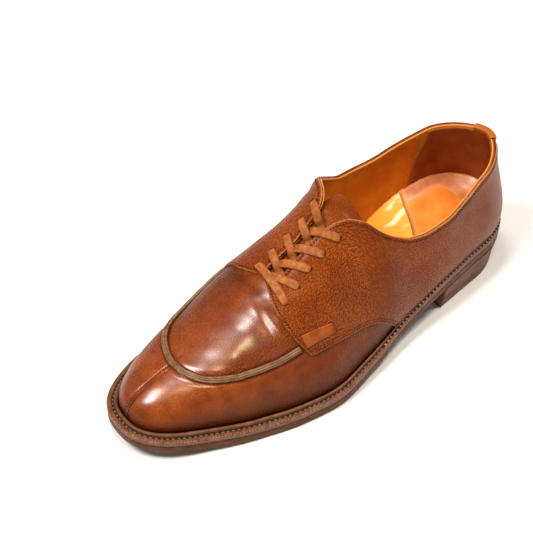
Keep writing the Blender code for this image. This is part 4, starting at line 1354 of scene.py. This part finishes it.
def quarter_low(stations, side):
    """Share of the quarter's lower edge at each station."""
    s = HEEL_CENTRE + (stations - 1) * (TOE_CENTRE - HEEL_CENTRE)
    rows = LOWER[side]
    share = share_at_height(stations, curve(rows, "z", s), side)
    return np.where(s > rows["s"][0], np.maximum(share, QUARTER_FOOT), QUARTER_FOOT)


def quarter_high(stations, side):
    """Share of the quarter's upper edge at each station."""
    s = HEEL_CENTRE + (stations - 1) * (TOE_CENTRE - HEEL_CENTRE)
    rows = THROAT_EDGE[side]
    share = share_at_height(stations, curve(rows, "z", s), side)
    return np.where(s > rows["s"][0], np.minimum(share, trim(stations, side)), trim(stations, side))


def border(grid):
    """Points round the edge of a grid."""
    return np.concatenate([grid[:, 0], grid[:, -1], grid[0], grid[-1]])


def make_quarter(side):
    """A quarter laid over the vamp, with its eyelets."""
    name = "quarter_" + SIDE_NAME[side]
    stations = quarter_columns(side)
    low, high = quarter_low(stations, side), quarter_high(stations, side)
    high = np.maximum(high, low + 1e-4)
    lengths = span(skin(stations, high, side) - skin(stations, low, side))
    ways = clustered(44, lengths.clip(0.5) * 1.1, QUARTER_ROUND)
    share = low[:, None] + (high - low)[:, None] * ways
    station = np.broadcast_to(stations[:, None], share.shape)
    places = skin(station, share, side)
    free_rim = np.concatenate([places[low > QUARTER_FOOT + 0.01, 0], places[:, -1]])
    distance = nearest(places, border(places))[0]
    from_free = nearest(places, free_rim)[0]
    foot = ease(share, QUARTER_FOOT, QUARTER_FULL)
    thick = QUARTER * rounded(distance, QUARTER_ROUND) * (0.04 + 0.96 * foot)
    # smooth and dark round the heel, pebbled ahead of it, paler along the cut edges; dark low down from
    # burnishing and painted shade, and painted shade in a groove beside the free edges
    s = places[..., 0]
    heel = 1 - ease(s, 25, 90)
    smooth_low = 1 - ease(share, 0.1, 0.38)
    grain = ((1 - 0.92 * heel) * (1 - 0.6 * smooth_low * (1 - ease(s, 150, 175)))).clip(0.03, 1)
    burnish = 0.8 * fade(share, BURNISH_SHADE_FOOT, 0.075, 1.2) * (s < 150) + 0.36 * heel
    # painted shade in a groove a little way in from the free edges
    groove = 0.6 * hump(from_free, 1.5, 0.5)
    from_top = nearest(places, places[:, -1])[0]
    thick = thick * (0.6 + 0.4 * ease(from_top, 0.6, 4))
    pale = 0.3 * (1 - ease(from_free, 0.25, 1.0)) + 0.6 * (1 - ease(from_top, 0.15, 0.6))
    fields = {"grain": grain, "burnish": (burnish + groove * 0.5).clip(0, 1), "edge": pale,
              **laid_flat(station, share, side)}
    out = normal(station, share, side)
    shape = Shape()
    shape.grid(places + out * (OVERLAY + thick)[..., None], **fields)
    shape.grid(places + out * OVERLAY, **fields)
    item = shape.piece(name + "_leather", "calf_grain", "calf_grain", [name])
    cut_eyelets(item)


def make_patch(side):
    """The smooth patch sewn on at the quarter's front corner."""
    ways, rows = np.linspace(0, 1, 40), np.linspace(0, 1, 14)
    back = 0 if side == LATERAL else PATCH_BACK
    s = PATCH["s"][0] - back + (PATCH["s"][-1] - PATCH["s"][0]) * ways
    key = s + back
    lower, upper = curve(PATCH, "lower", key), curve(PATCH, "upper", key)
    z = lower[:, None] + (upper - lower)[:, None] * rows[None]
    station = np.broadcast_to(body_station(s)[:, None], z.shape)
    share = share_at_height(station, z, side)
    places = skin(station, share, side)
    thick = PATCH_THICK * rounded(nearest(places, border(places))[0], 0.7)
    base = OVERLAY + QUARTER - PATCH_SUNK
    out = normal(station, share, side)
    shape = Shape()
    shape.grid(places + out * (base + thick)[..., None])
    shape.grid(places + out * base)
    shape.piece("patch_" + SIDE_NAME[side], "patch_leather", "calf_grain")
    around = np.concatenate([places[:, 0], places[-1], places[::-1, -1], places[0, ::-1]])
    ups = np.concatenate([out[:, 0], out[-1], out[::-1, -1], out[0, ::-1]])
    return around + ups * (base + 0.15), ups


def make_backstay():
    """Strip up the back seam, turned in over the collar as the heel's tab."""
    half = BACKSTAY_EDGE - BACKSTAY_CLEAR
    stations = half * np.concatenate([np.linspace(0, 0.93, 14)[:-1], np.linspace(0.93, 1, 7)])
    rows = np.concatenate([np.linspace(QUARTER_FOOT, QUARTER_FULL, 5)[:-1],
                           np.linspace(QUARTER_FULL, 1, 34)])
    turns = np.linspace(0, np.pi, 14)[1:]
    inside = np.linspace(0, TAB_INSIDE, 6)[1:]
    high, deep = OVERLAY + QUARTER + TAB_OVER, WALL + TAB_UNDER
    middle, radius = (high - deep) / 2, (high + deep) / 2
    shape = Shape()
    for side in SIDES:
        top = trim(stations, side)
        station = np.broadcast_to(stations[:, None], (len(stations), len(rows)))
        share = top[:, None] * rows[None]
        places, out = skin(station, share, side), normal(station, share, side)
        from_side = span(places - places[-1:])
        climb = steps(stations, top - 2e-3, side)[1]
        away, rise = unit(climb), span(climb)
        crown, crown_out = places[:, -1], out[:, -1]
        soft = rounded(span(crown - crown[-1]), 0.8)
        faces = []
        # up the outside, over the collar and down the inside
        for thick in (1.0, 0.0):
            body = 0.02 + 0.98 * ease(share, QUARTER_FOOT, QUARTER_FULL)
            gain = thick * (high - OVERLAY) * rounded(from_side, 0.9) * body
            columns = [places + out * (OVERLAY + gain)[..., None]]
            reach_out = radius - (1 - thick * soft) * (high - OVERLAY) * 0.8
            for angle in turns:
                aside = (middle + reach_out * np.cos(angle))[:, None] * crown_out
                raised = (0.25 + reach_out * np.sin(angle) * 0.3)[:, None] * away
                columns.append((crown + aside + raised)[:, None])
            for drop in inside:
                columns.append(lift(stations, top - drop / rise, side, middle - reach_out)[:, None])
            faces.append(np.concatenate(columns, 1))
        # pale over the tab's top, fading down its inside as painted shade; darker at the foot from
        # burnishing and painted shade
        bright = np.concatenate([ease(rows, 0.955, 0.995), np.ones(len(turns)),
                                 np.linspace(0.8, 0.2, len(inside))])
        dark = np.concatenate([0.8 * fade(rows, BURNISH_SHADE_FOOT, 0.075, 1.2),
                               np.zeros(len(turns) + len(inside))])
        shape.shell(faces, [np.s_[:, 0], np.s_[:, -1], np.s_[-1]],
                    edge=bright[None], burnish=dark[None])
    shape.piece("backstay_strip", "calf_edge", "calf_edge", ["backstay"])


def piping_section():
    """Section of the piping: three ridges with hollows between, over a flat foot."""
    half = PIPING_WIDTH / 2
    across = np.linspace(-half, half, 25)
    bow = np.sqrt(1 - (across / half) ** 2 * 0.97)
    ridges = 0.17 * np.cos(across / half * 2.6 * np.pi)
    height = PIPING_HEIGHT * (0.82 * bow) + ridges + 0.08
    top = np.stack([across, height.clip(0.12)], -1)
    foot = np.array([(half, -0.25), (-half, -0.25)])
    # how much painted shade each point takes: in the hollows between the ridges, and full along the
    # foot
    hollow = np.concatenate([((0.02 - ridges) / 0.19).clip(0, 1), [1, 1]])
    return np.concatenate([top, foot]), hollow


def make_apron_piping():
    """The raised piping round the apron."""
    path, up = apron_line()
    section, hollow = piping_section()
    shape = Shape()
    fields = np.concatenate([hollow, hollow[:1]])
    sweep(shape, path + up * 0.2, up, section, hollow=0.6 * fields[None])
    shape.piece("apron_piping_cord", "piping_leather", "piping_leather", ["apron_piping"])


def make_toe_seam():
    """Split seam down the toe: two lips that close into a sewn line near the welt."""
    shares = np.linspace(SEAM_FOOT, SEAM_HEAD, 60)
    stations = np.full(len(shares), 3.0)
    up = normal(stations, shares, LATERAL)
    up[:, 1] = 0
    up = unit(up)
    path = skin(stations, shares, LATERAL)
    across = np.linspace(-1, 1, 17)
    sections = []
    for share in shares:
        tall = 0.35 + 0.55 * ease(share, 0.40, 0.62)
        lips = hump(np.abs(across), 0.42, 0.34) - 0.35 * hump(across, 0, 0.16)
        top = np.stack([across * SEAM_HALF, tall * lips + 0.05], -1)
        sections.append(np.concatenate([top, [(SEAM_HALF, -0.35), (-SEAM_HALF, -0.35)]]))
    # painted shade down the parting between the two lips and along their foot
    hollow = 0.85 * hump(across, 0, 0.2)
    hollow = np.concatenate([hollow, [0.6, 0.6], hollow[:1]])
    shape = Shape()
    sweep(shape, path, up, np.array(sections), burnish=hollow[None], grain=np.zeros((1, len(hollow))))
    shape.piece("toe_seam_lips", "calf_smooth", "calf_smooth", ["toe_seam"])
    return path, up, shares


def make_tongue():
    """The tongue under the facings, with its free end carried back and flattened."""
    across = np.linspace(-1, 1, 29)
    shape = Shape()
    s = np.linspace(TONGUE_FRONT, TONGUE_BACK, 34)[:, None]
    rows = list(on_skin(s, across * curve(TONGUE_HALF, "half", s), -TONGUE_DEPTH)[0])
    last = rows[-1]
    middle = last.mean(0)
    end = TONGUE_END["back"][-1]
    for back in np.linspace(0, end, 22)[1:]:
        corner = (back - end + 3.5).clip(0)
        narrow = 1 - (TONGUE_CORNER - np.sqrt(TONGUE_CORNER ** 2 - corner ** 2)) / 16
        row = middle + (last - middle) * narrow * (1, 1, 1 - 0.45 * ease(back, 0, 16))
        rows.append(row + (-back, 0, curve(TONGUE_END, "up", back, key="back")))
    points = np.array(rows)
    rim = np.concatenate([points[:, 0], points[:, -1], points[-1]])
    distance = nearest(points, rim)[0]
    out = unit(np.cross(np.gradient(points, axis=1), np.gradient(points, axis=0)))
    out = out * np.sign(out[..., 2:])
    swell = 0.5 * TONGUE * (0.12 + 0.88 * rounded(distance, 0.8))
    pale = 0.9 * (1 - ease(distance, 0.3, 1.1))
    faces = [points + out * (end * swell - TONGUE / 2)[..., None] for end in (1, -1)]
    for face in faces:
        flat = TONGUE_PEBBLE * face
        shape.grid(face, edge=pale, grain=0.9, burnish=0, along=flat[..., 0], up=flat[..., 1])
    for rim in (np.s_[0], np.s_[-1], np.s_[:, 0], np.s_[:, -1]):
        strip = np.stack([face[rim] for face in faces], 1)
        shape.grid(strip, edge=0.9, grain=0, burnish=0, along=0, up=0)
    shape.piece("tongue_leather", "calf_grain", "calf_grain", ["tongue"])


# Laces

def eyelet_place(row, side):
    """An eyelet seen from above."""
    name = SIDE_NAME[side]
    return np.array([EYELETS[name][row], side * EYELETS[name + "_y"][row]])


def make_eyelet_cutter():
    """Pegs that punch the eyelets, as an object outside the scene."""
    shape = Shape()
    turns = np.arange(EYELET_SIDES) * 2 * np.pi / EYELET_SIDES
    for side in SIDES:
        for row in range(len(EYELETS["lateral"])):
            centre, up = on_skin(*eyelet_place(row, side), 0)
            run = unit(np.cross(up, (0, 1, 0)))
            across = np.cross(up, run)
            ring = EYELET_RADIUS * (np.cos(turns)[:, None] * run + np.sin(turns)[:, None] * across)
            ends = np.stack([centre + ring - up * EYELET_DEPTH, centre + ring + up * EYELET_DEPTH])
            faces = [[k, (k + 1) % EYELET_SIDES, EYELET_SIDES + (k + 1) % EYELET_SIDES,
                      EYELET_SIDES + k] for k in range(EYELET_SIDES)]
            shape.add(ends, faces)
            shape.faces += [list(range(shape.count - 2 * EYELET_SIDES, shape.count - EYELET_SIDES)),
                            list(range(shape.count - EYELET_SIDES, shape.count))]
    data = bpy.data.meshes.new("eyelet_cutters")
    data.from_pydata(metres(np.concatenate(shape.points)).tolist(), [], shape.faces)
    mesh = bmesh.new()
    mesh.from_mesh(data)
    bmesh.ops.recalc_face_normals(mesh, faces=mesh.faces)
    mesh.to_mesh(data)
    mesh.free()
    return bpy.data.objects.new("eyelet_cutters", data)


def cut_eyelets(item):
    """Punch the eyelets through a piece for good."""
    step = item.modifiers.new("eyelets", "BOOLEAN")
    step.operation = "DIFFERENCE"
    step.object = EYELET_CUTTER
    graph = bpy.context.evaluated_depsgraph_get()
    data = bpy.data.meshes.new_from_object(item.evaluated_get(graph))
    item.modifiers.remove(step)
    old, item.data = item.data, data
    bpy.data.meshes.remove(old)


def lace_rows(places, heights, widths):
    """Rows of a lace's route: place, direction across it, width and thickness."""
    places = np.array(places)
    widths = np.array(widths)[:, None]
    points, out = on_skin(*places.T, heights)
    run = np.concatenate([np.gradient(places, axis=0), np.zeros_like(widths)], 1)
    run = run - out * (run * out).sum(-1, keepdims=True)
    return np.concatenate([points, unit(np.cross(run, out)), widths * LACE_WIDTH,
                           LACE_THICK * (1 + 0.5 * (1 - widths))], 1)


def dive(end, run):
    """Route over the facing's edge and down into an eyelet."""
    steps_in = table("before height width", [
        (3.4, LACE_ON_TOP, 1), (1.5, LACE_ON_TOP + 0.1, 0.97), (0.2, LACE_ON_TOP - 0.05, 0.88),
        (-0.7, LACE_ON_TOP - 0.9, 0.76), (-0.9, 0.2, 0.68), (-0.6, -1.6, 0.66)])
    places = [end - run * before for before in steps_in["before"]]
    return places, list(steps_in["height"]), list(steps_in["width"])


def hop(row, side):
    """Route from an eyelet, under its facing, up through the gap and into one of the next row."""
    start, end = eyelet_place(row - 1, -side), eyelet_place(row, side)
    s = end[0] + LACE_LEAD[SIDE_NAME[side]][row - 1]
    far = -side * curve(FACING, SIDE_NAME[-side], s)
    near = side * curve(FACING, SIDE_NAME[side], (s + end[0]) / 2)
    # the strip to the outer side crosses over the other one
    rise = (-2.3, -0.4, 1.5) if side == LATERAL else (-2.9, -2.3, 0.6)
    leave = np.array([s, far])
    heading = unit(end - leave)

    def on_way(y):
        return leave + heading * (y - leave[1]) / heading[1]

    gap = near - far
    places = [start, start + (leave - start) * 0.25, start + (leave - start) * 0.7,
              on_way(far + gap * 0.10), on_way(far + gap * 0.38), on_way(far + gap * 0.68),
              on_way(near + side * 0.6)]
    heights = [-2.4, LACE_UNDER, LACE_UNDER, *rise, LACE_ON_TOP - 0.05]
    widths = [0.66, 0.9, 1, 1, 1, 1, 1]
    more = dive(end, heading)
    return [a + b for a, b in zip((places, heights, widths), more)]


def bar():
    """Route of the straight bar over the throat."""
    start, end = eyelet_place(0, MEDIAL), eyelet_place(0, LATERAL)
    heading = unit(end - start)
    first = dive(start, -heading)
    middle = [start + (end - start) * share for share in (0.35, 0.5, 0.65)]
    heights = [LACE_ON_TOP + 0.35] * 3
    second = dive(end, heading)
    return [a[::-1] + b + c for a, b, c in zip(first, (middle, heights, [1, 1, 1]), second)]


def add_ribbon(shape, routes):
    """A flat lace along routes that follow on from each other."""
    rows = np.concatenate([lace_rows(*route) for route in routes])
    for before, after in zip(rows, rows[1:]):
        if before[3:6] @ after[3:6] < 0:
            after[3:6] *= -1
    rows = through(rows, 0.55)
    path, across = rows[:, :3], unit(rows[:, 3:6])
    run = unit(np.gradient(path, axis=0))
    up = unit(np.cross(run, across))
    angle = np.arange(LACE_SIDES) * 2 * np.pi / LACE_SIDES
    flat, high = blunt(np.cos(angle), 0.55), blunt(np.sin(angle), 0.75)
    sections = np.stack([flat[None] * rows[:, 6:7] / 2, high[None] * rows[:, 7:8] / 2], -1)
    # darker towards the lace's two edges
    worn = np.concatenate([np.abs(flat), np.abs(flat[:1])]) ** 6
    sweep(shape, path, up, sections, edge=worn[None])


def make_lace():
    """The lace's two runs, from the bar at the throat up to the last eyelets."""
    shape = Shape()
    last = len(EYELETS["lateral"])
    first_run = [bar()] + [hop(row, MEDIAL if row % 2 else LATERAL) for row in range(1, last)]
    second_run = [hop(row, LATERAL if row % 2 else MEDIAL) for row in range(1, last)]
    for run in (first_run, second_run):
        add_ribbon(shape, run)
    nodes = ["lace_bar"] + ["lace_cross_%d" % row for row in range(1, last)]
    shape.piece("lace", "lace_cotton", "lace_cotton", nodes)


# Stitching

def make_stitches(patch_lines, toe_line):
    """Every row of stitches on the outside, and those inside the collar."""
    dark, tan = Shape(), Shape()
    on_quarter = OVERLAY + QUARTER
    for side in SIDES:
        # two rows along the quarter's lower edge
        rows = LOWER[side]
        stations = body_station(np.linspace(rows["s"][0] + 4, rows["s"][LOWER_TIP] - 1.5, 300))
        shares = quarter_low(stations, side)
        for inside in (1.7, 3.5):
            line = moved(stations, shares, side, -inside * side)
            keep = line[1] > QUARTER_FULL
            stitch_line(dark, *over(line[0][keep], line[1][keep], side, on_quarter))
        # round its front corner and up to the throat
        front = through(level(np.stack([rows["s"], rows["z"]], -1)[LOWER_TIP:]), 0.3)
        throat = THROAT_EDGE[side]
        back = through(level(np.stack([throat["s"], throat["z"]], -1)[::-1]), 0.3)
        edge = np.concatenate([front, back[1:]])[6:]
        edge = edge[(np.arange(len(edge)) < len(front)) | (edge[:, 0] > rows["s"][-1] - 7)]
        stations = body_station(edge[:, 0])
        shares = share_at_height(stations, edge[:, 1], side)
        line = moved(stations, shares, side, -1.7 * side)
        stitch_line(dark, *over(*line, side, on_quarter))
        # along the collar and the facing, outside and inside
        ring = ring_stations(0.5)
        ring = ring[(ring > BACKSTAY_EDGE + 0.05) & (ring < body_station(186.5))]
        line = moved(ring, trim(ring, side), side, 2.2 * side)
        stitch_line(dark, *over(*line, side, on_quarter))
        path, out = over(*moved(ring, trim(ring, side), side, 3.6 * side), side, -WALL)
        stitch_line(tan, path, -out, LINING_PITCH, LINING_STITCH)
        # two rows on the seam of the heel's lining
        for inside in (1.4, 3.0):
            line = heel_lining_line(np.linspace(0.55, 0.9, 120), side, inside)
            path, out = over(*line, side, -WALL - 0.68)
            stitch_line(tan, path, -out, LINING_PITCH, LINING_STITCH)
        # beside the eyelets, further out on the inner side
        facing = through(level(np.stack([FACING_SEAM["s"], FACING_SEAM["y"]], -1)), 0.6)
        wide = 0 if side == LATERAL else 7
        s = facing[:, 0] - wide * 0.6
        shares = share_at(s, facing[:, 1] + wide, side)
        stitch_line(dark, *over(body_station(s), shares, side, on_quarter), size=(1.4, 0.6, 0.5))
    for path, out in patch_lines:
        stitch_line(dark, path, out, pitch=1.9, size=(1.3, 0.5, 0.45))
    # slanted stitches down the toe, and a fine row inside the piping
    path, up, shares = toe_line
    sewn = shares < 0.60
    fine = np.linspace(0, sewn.sum() - 1, 240)
    path, up = pick(path[sewn], fine), pick(up[sewn], fine)
    stitch_line(dark, path + up * 0.42, up, size=(3.0, 0.75, 0.6), slant=1.1)
    apron, out = apron_line()
    inner = unit(np.cross(out, np.gradient(apron, axis=0)))
    facing_in = np.sign(((apron.mean(0) - apron) * inner).sum(-1, keepdims=True))
    path = apron + inner * facing_in * 2.55 + out * 0.05
    stitch_line(dark, path, out, pitch=1.8, size=(0.9, 0.5, 0.4))
    dark.piece("upper_stitches", "dark_thread", "calf_grain", weld=FINE_WELD)
    tan.piece("lining_stitches", "tan_thread", "insole_leather", weld=FINE_WELD)


# Studio

CAMERA_TARGET = (170.23, -32.97, 40.0)
CAMERA_TURN = 141.66
CAMERA_RISE = 44.99
CAMERA_ROLL = 0.72
CAMERA_DISTANCE = 726.97
CAMERA_LENS = 76.0
CAMERA_SENSOR = 36.0
# Soft boxes: direction, distance, size, power, colour, and the place on the shoe that they face
LIGHTS = {
    "key": ((0.46, -0.10, 0.88), 1.3, (0.42, 0.42), 16, (1.0, 0.985, 0.96), (0.11, 0.02, 0.05)),
    "crown": ((0.05, -0.14, 0.99), 1.3, (0.22, 0.22), 6, (1.0, 0.97, 0.94), (0.05, -0.01, 0.09)),
    "warm": ((0.18, 0.25, 0.95), 1.3, (0.18, 0.18), 4.5, (1.0, 0.80, 0.45), (0.07, 0.02, 0.07)),
    "window": ((-0.22, 0.90, 0.42), 1.4, (1.0, 0.5), 0.9, (1.0, 0.97, 0.94), (0, 0, 0.05)),
    "fill": ((0.75, -0.45, 0.55), 1.6, (0.7, 0.5), 0.9, (1.0, 0.95, 0.88), (0, 0, 0.05)),
    "top": ((-0.35, 0.22, 0.91), 1.3, (0.4, 0.3), 8, (1.0, 0.98, 0.95), (0, 0, 0.05))}
WORLD_COLOUR = (1.0, 0.985, 0.965, 1)
WORLD_STRENGTH = 0.16
FLOOR_HALF = 3.0
FLOOR_HEIGHT = -0.0002


def placed(name, data, axes, place):
    """A lamp or camera in the scene, turned to its axes."""
    item = bpy.data.objects.new(name, data)
    frame_of = np.eye(4)
    frame_of[:3, :3] = np.stack(axes, 1)
    frame_of[:3, 3] = place
    item.matrix_world = Matrix(frame_of.tolist())
    bpy.context.scene.collection.objects.link(item)
    return item


def make_camera():
    """The camera at the photo's angle."""
    turned, rise, roll = np.radians([CAMERA_TURN, CAMERA_RISE, CAMERA_ROLL])
    back = np.array([np.sin(turned) * np.cos(rise), -np.cos(turned) * np.cos(rise), np.sin(rise)])
    right = np.array([np.cos(turned), np.sin(turned), 0])
    up = np.cross(back, right)
    right, up = right * np.cos(roll) + up * np.sin(roll), up * np.cos(roll) - right * np.sin(roll)
    eye = metres(np.array(CAMERA_TARGET) + back * CAMERA_DISTANCE)
    data = bpy.data.cameras.new("camera")
    data.lens = CAMERA_LENS
    data.sensor_width = CAMERA_SENSOR
    data.clip_start = 0.05
    bpy.context.scene.camera = placed("camera", data, (right, up, back), eye)


def make_light(name, direction, distance, size, power, colour, aim):
    """A soft box that faces the shoe."""
    data = bpy.data.lights.new(name, "AREA")
    data.shape = "ELLIPSE"
    data.size, data.size_y = size
    data.energy = power
    data.color = colour
    out = unit(np.array(direction, float))
    side = unit(np.cross((0, 0, 1) if abs(out[2]) < 0.95 else (1, 0, 0), out))
    placed(name, data, (side, np.cross(out, side), out), np.array(aim) + out * distance)


def make_studio():
    """Soft light all round over a plain pale floor."""
    for name, light in LIGHTS.items():
        make_light(name, *light)
    world = bpy.data.worlds.new("studio")
    world.use_nodes = True
    background = world.node_tree.nodes["Background"]
    background.inputs["Color"].default_value = WORLD_COLOUR
    background.inputs["Strength"].default_value = WORLD_STRENGTH
    scene = bpy.context.scene
    scene.world = world
    scene.view_settings.view_transform = "Standard"
    data = bpy.data.meshes.new("floor")
    corners = [(-1, -1), (1, -1), (1, 1), (-1, 1)]
    data.from_pydata([(x * FLOOR_HALF, y * FLOOR_HALF, FLOOR_HEIGHT) for x, y in corners], [],
                     [(0, 1, 2, 3)])
    data.materials.append(FINISHES["floor_paint"])
    floor = bpy.data.objects.new("floor", data)
    scene.collection.objects.link(floor)


EYELET_CUTTER = make_eyelet_cutter()
make_camera()
make_studio()
make_outsole()
make_heel()
make_insole()
make_heel_sock()
make_welt()
make_welt_stitches()
make_vamp()
make_lining()
make_heel_lining()
for quarter_side in SIDES:
    make_quarter(quarter_side)
patches = [make_patch(quarter_side) for quarter_side in SIDES]
make_backstay()
make_apron_piping()
seam = make_toe_seam()
make_tongue()
make_lace()
make_stitches(patches, seam)
bpy.data.objects.remove(EYELET_CUTTER)
